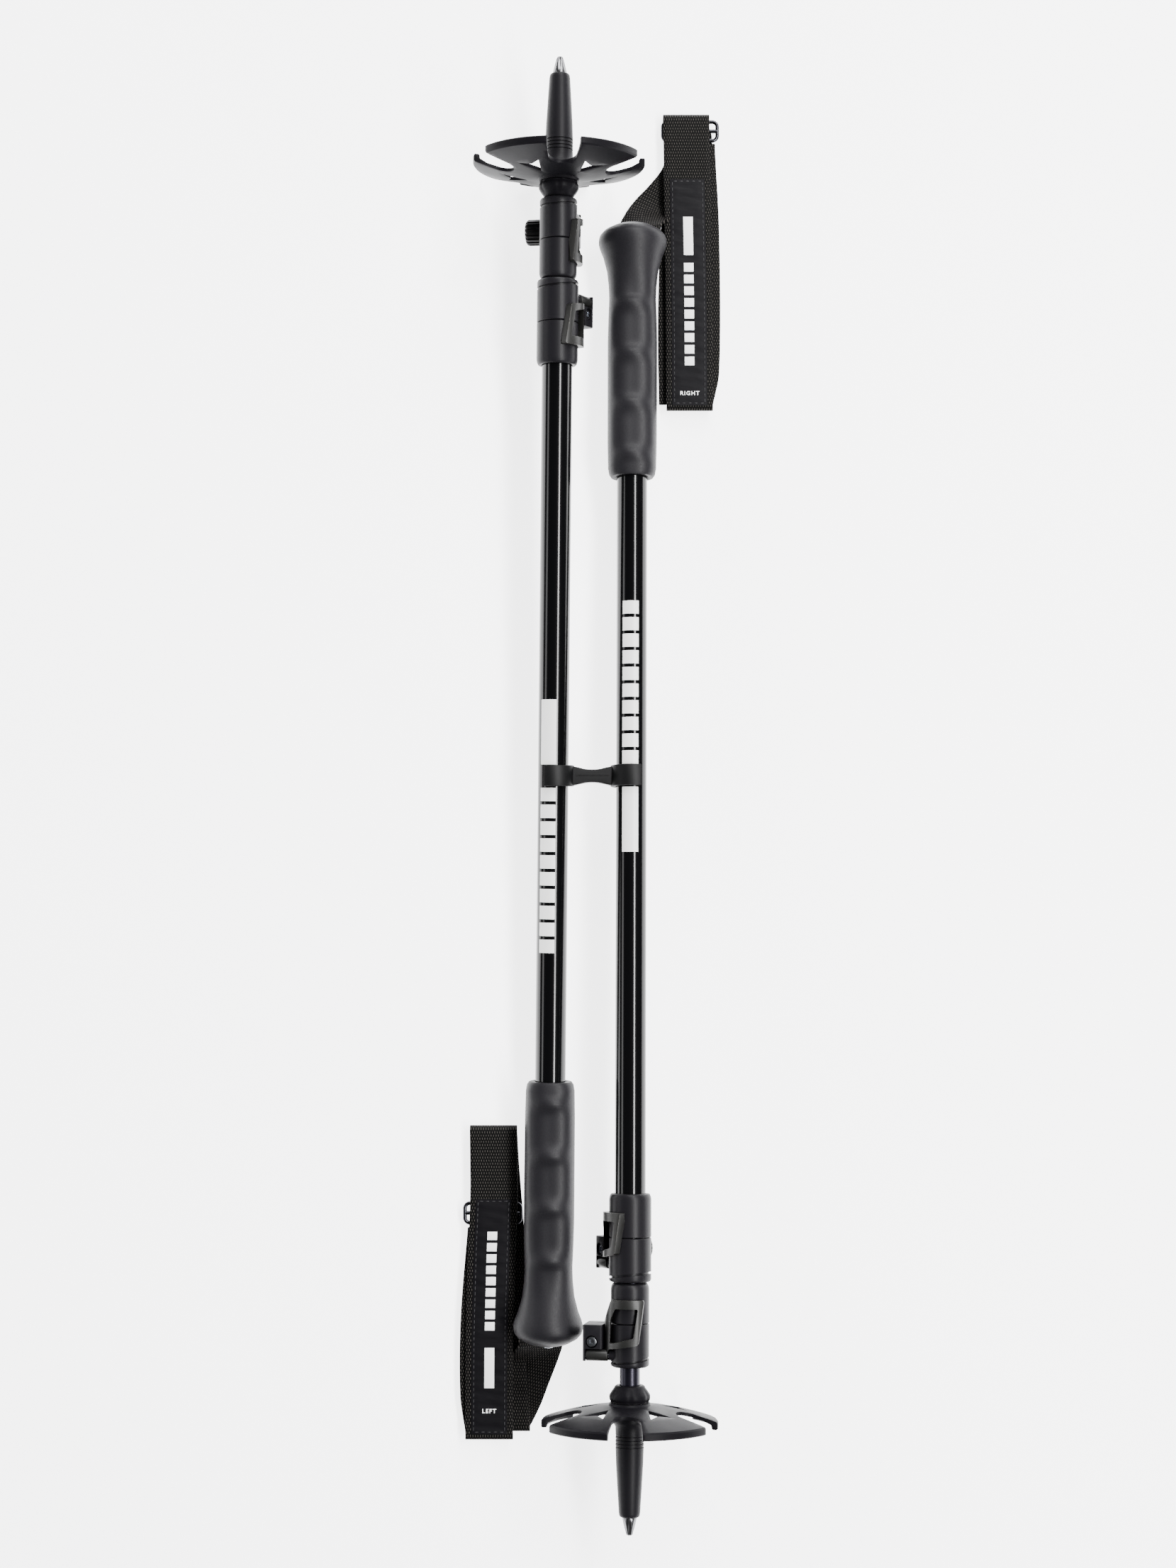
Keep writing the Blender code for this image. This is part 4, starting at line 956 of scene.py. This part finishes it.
for side in SIDES:
    top = HUB_AT + PULLED[side]
    dish = [(0.0076, top), (0.0104, top), (0.0110, top + 0.0012), (0.0180, top + 0.0021),
            (0.0250, top + 0.0033), (0.0320, top + 0.0048), (0.0380, top + 0.0064),
            (0.0425, top + 0.0077), (BASKET_R - 0.0006, top + RIM_FROM), (BASKET_R, top + 0.0092),
            (BASKET_R, top + RIM_AT - 0.0005), (BASKET_R - 0.0005, top + RIM_AT),
            (BASKET_R - 0.0024, top + RIM_AT), (BASKET_R - 0.0029, top + RIM_AT - 0.0005),
            (BASKET_R - 0.0033, top + 0.0101), (0.0380, top + 0.0081), (0.0320, top + 0.0066),
            (0.0250, top + 0.0050), (0.0180, top + 0.0038), (0.0110, top + 0.0031),
            (0.0106, top + 0.0052), (0.0101, top + 0.0058), (0.0076, top + 0.0058)]
    basket = turned_piece(f"{side}_petal_basket", dish, 120)
    half = NOTCH_WIDTH / 2
    arc = [(half * math.cos(math.pi * k / 16), NOTCH_END - half * math.sin(math.pi * k / 16))
           for k in range(17)]
    for petal in range(PETALS):
        angle = math.radians(FIRST_NOTCH + 72 * petal)
        notch = plate("notch", arc + [(-half - 0.002, BASKET_R + 0.005), (half + 0.002, BASKET_R + 0.005)],
                      top - 0.004, top + 0.020, "Y")
        put(notch, Matrix.Rotation(angle, 4, "Y"))
        window = plate("window", [(0, 0.0170), (0.0062, 0.0290), (0, 0.0262), (-0.0062, 0.0290)],
                       top - 0.004, top + 0.020, "Y", 0.0008)
        put(window, Matrix.Rotation(angle + math.radians(36), 4, "Y"))
        boolean(basket, "DIFFERENCE", notch, window)
    clean(basket, 0.0005, 2, 50)
    finish_piece(put(smooth(basket, 32), PLACE[side]), basket_nylon, f"{side}_lower", "basket_nylon",
                 f"{side}_basket")

# ---- Basket nuts: a dark nylon collar with a waist and six shallow finger flats, screwed up
# against the basket's hub.
NUT_AT = 0.6020
FLATS, FLATS_FROM, FLAT_DEPTH = 6, 0.0088, 0.0004
for side in SIDES:
    at, top = NUT_AT + PULLED[side], HUB_AT + PULLED[side]
    nut = turned_piece(f"{side}_basket_collar_nut",
                       [(LOWER_R + GAP, at), (0.0070, at), (0.0077, at + 0.0005),
                        (0.0081, at + 0.0014), (0.0092, at + 0.0028), (0.0101, at + 0.0042),
                        (0.0105, at + 0.0050), (0.0105, top - 0.0022), (0.0102, top - 0.0014),
                        (0.0099, top - 0.0010), (0.0099, top - GAP), (LOWER_R + GAP, top - GAP)], 72)
    press_in(nut, lambda radius, y, turn: (radius > FLATS_FROM) * FLAT_DEPTH
             * max(0, math.cos(FLATS * turn)) ** 3)
    finish_piece(put(smooth(nut, 40), PLACE[side]), basket_nylon, f"{side}_lower", "basket_nylon",
                 f"{side}_basket_nut")

# ---- Ferrules: a long taper of moulded nylon pushed on the end of the lower tube, with a collar
# under the basket and four fine ring grooves just beyond it.
FERRULE_END, LOWER_TUBE_END = 0.6678, 0.6420
ferrule_nylon, ferrule_shader = new_material("moulded_ferrule_nylon", "141316", roughness=0.44,
                                             specular=0.10)
grain_relief(ferrule_nylon, ferrule_shader, 0.25, 0.00007, Scale=1500.0, Detail=2.0)
for side in SIDES:
    top, end = HUB_AT + PULLED[side], FERRULE_END + PULLED[side]
    tube_end = LOWER_TUBE_END + PULLED[side]
    outer = [(0.0073, top + GAP), (0.0073, top + 0.0061), (0.0083, top + 0.0061),
             (0.0086, top + 0.0065), (0.0086, top + 0.0094), (0.0082, top + 0.0104),
             (0.0074, top + 0.0118), (0.0073, top + 0.0150)]
    for ring in range(4):
        at = top + 0.0160 + 0.0018 * ring
        outer += [(0.0073, at), (0.0068, at + 0.00018), (0.0068, at + 0.00058), (0.0073, at + 0.00076)]
    outer += [(0.0072, top + 0.0240), (0.0070, top + 0.0300), (0.0063, top + 0.0420),
              (0.0055, end - 0.0022), (0.0053, end - 0.0010), (0.0050, end - 0.0003), (0.0046, end)]
    bore = [(0.0026, end), (0.0026, tube_end + 0.0004), (LOWER_R + GAP, tube_end + 0.0004),
            (LOWER_R + GAP, top + GAP)]
    ferrule = turned_piece(f"{side}_tapered_ferrule", outer + bore, 64)
    finish_piece(put(smooth(ferrule), PLACE[side]), ferrule_nylon, f"{side}_lower", "nylon",
                 f"{side}_ferrule")

# ---- Tips: sintered hard metal, pressed in the end of the ferrule, fluted to a blunt serrated
# point that bites on rock.
FLUTES, FLUTE_DEPTH = 6, 0.0004
hard_metal, _ = new_material("sintered_carbide", "6c6c6e", roughness=0.30, metallic=1.0)
for side in SIDES:
    end = FERRULE_END + PULLED[side]
    point = end + 0.0092
    tip = turned_piece(f"{side}_carbide_tip",
                       [(0.0023, end - 0.0130), (0.0023, end + GAP), (0.0036, end + GAP),
                        (0.0037, end + 0.0007), (0.0034, end + 0.0022), (0.0029, end + 0.0042),
                        (0.0023, end + 0.0064), (0.0017, point - 0.0008), (0.0014, point - 0.0002),
                        (0.0010, point)], FLUTES * 6, shell=False)
    press_in(tip, lambda radius, y, turn: (y > end + 0.0010 and radius > 0.001) * FLUTE_DEPTH
             * max(0, math.cos(FLUTES * turn)) * min(1, (y - end) / 0.004))
    finish_piece(put(smooth(tip, 50), PLACE[side]), hard_metal, f"{side}_lower", "hard_metal",
                 f"{side}_tip")

# ---- Grip plugs and strap wedges: a small steel-grey plug in the apex of the head, and the nylon
# wedge that jams the webbing in its slot.
for side in SIDES:
    plug = turned_piece(f"{side}_head_plug",
                        [(0.0035, 0.0045), (0.0035, 0.0003), (0.0033, -0.0002), (0.0029, -0.0005),
                         (0.0020, -0.0006)], 32, shell=False)
    finish_piece(put(smooth(plug), PLACE[side]), steel, f"{side}_upper", "bright_steel",
                 f"{side}_grip_plug")
    wedge = box_between(f"{side}_slot_wedge", (-0.0100, 0.0030, -0.0082), (0.0100, 0.0122, -0.0063))
    clean(wedge, 0.0004)
    finish_piece(put(smooth(wedge), PLACE[side] @ Matrix.Rotation(SLOT_ROLL, 4, "Y")), nylon,
                 f"{side}_upper", "nylon", f"{side}_strap_wedge")

# ---- Storage clip: two soft rings, open on their outer sides, joined by a waisted bridge and
# moulded as one in black rubber. It snaps over both tubes and rides on the left pole.
CLIP_Y = 0.0047
CLIP_HEIGHT = 0.031
RING_IN, RING_OUT, RING_HALF = UPPER_R + GAP, UPPER_R + 0.0030, 0.0055
RING_REACH = math.radians(118)
rubber, rubber_shader = new_material("moulded_black_rubber", "09090a", roughness=0.50,
                                     specular=0.18)
grain_relief(rubber, rubber_shader, 0.2, 0.00008, Scale=700.0, Detail=3.0)
axis_points = {}
rings = []
for side in SIDES:
    turns = [math.pi / 2 - RING_REACH + 2 * RING_REACH * k / 40 for k in range(41)]
    outline = [(RING_OUT * math.sin(a), RING_OUT * math.cos(a)) for a in turns]
    outline += [(RING_IN * math.sin(a), RING_IN * math.cos(a)) for a in reversed(turns)]
    at = PLACE[side].inverted() @ Vector((0, CLIP_Y, CLIP_HEIGHT))
    ring = plate(f"{side}_ring", outline, at.y - RING_HALF, at.y + RING_HALF, "Y")
    put(ring, PLACE[side])
    rings.append(ring)
    start, along = PLACE[side].translation, PLACE[side].to_3x3() @ Vector((0, 1, 0))
    axis_points[side] = start + along * (CLIP_Y - start.y) / along.y
x0, x1 = axis_points["left"].x + UPPER_R + 0.0012, axis_points["right"].x - UPPER_R - 0.0012
middle = (x0 + x1) / 2
WAIST, END_HALF, THICK = 0.0033, 0.0050, 0.0035
plan = []
for sign in (-1, 1):
    curve = []
    for k in range(13):
        share = k / 12
        swell = (0.5 + 0.5 * math.cos(2 * math.pi * share)) ** 1.3
        curve.append((x0 + (x1 - x0) * share, CLIP_Y + sign * (WAIST + (END_HALF - WAIST) * swell)))
    plan += curve if sign < 0 else curve[::-1]
bridge_z = axis_points["left"].z
bridge = plate("tie_clip_rubber", plan, bridge_z - THICK, bridge_z + THICK, "Z")
clean(bridge, 0.0006, 3, 50)
line_x, line_y, line_low = 0.0085, 0.00025, bridge_z + THICK - 0.0004
boolean(bridge, "DIFFERENCE", box_between("line", (middle - line_x, CLIP_Y - line_y, line_low),
                                          (middle + line_x, CLIP_Y + line_y, bridge_z + THICK + 0.001)))
for ring in rings:
    clean(ring, 0.0004, 2, 50)
    boolean(bridge, "UNION", ring)
finish_piece(smooth(bridge, 40), rubber, "left_upper", "clip_rubber", "tie_clip")
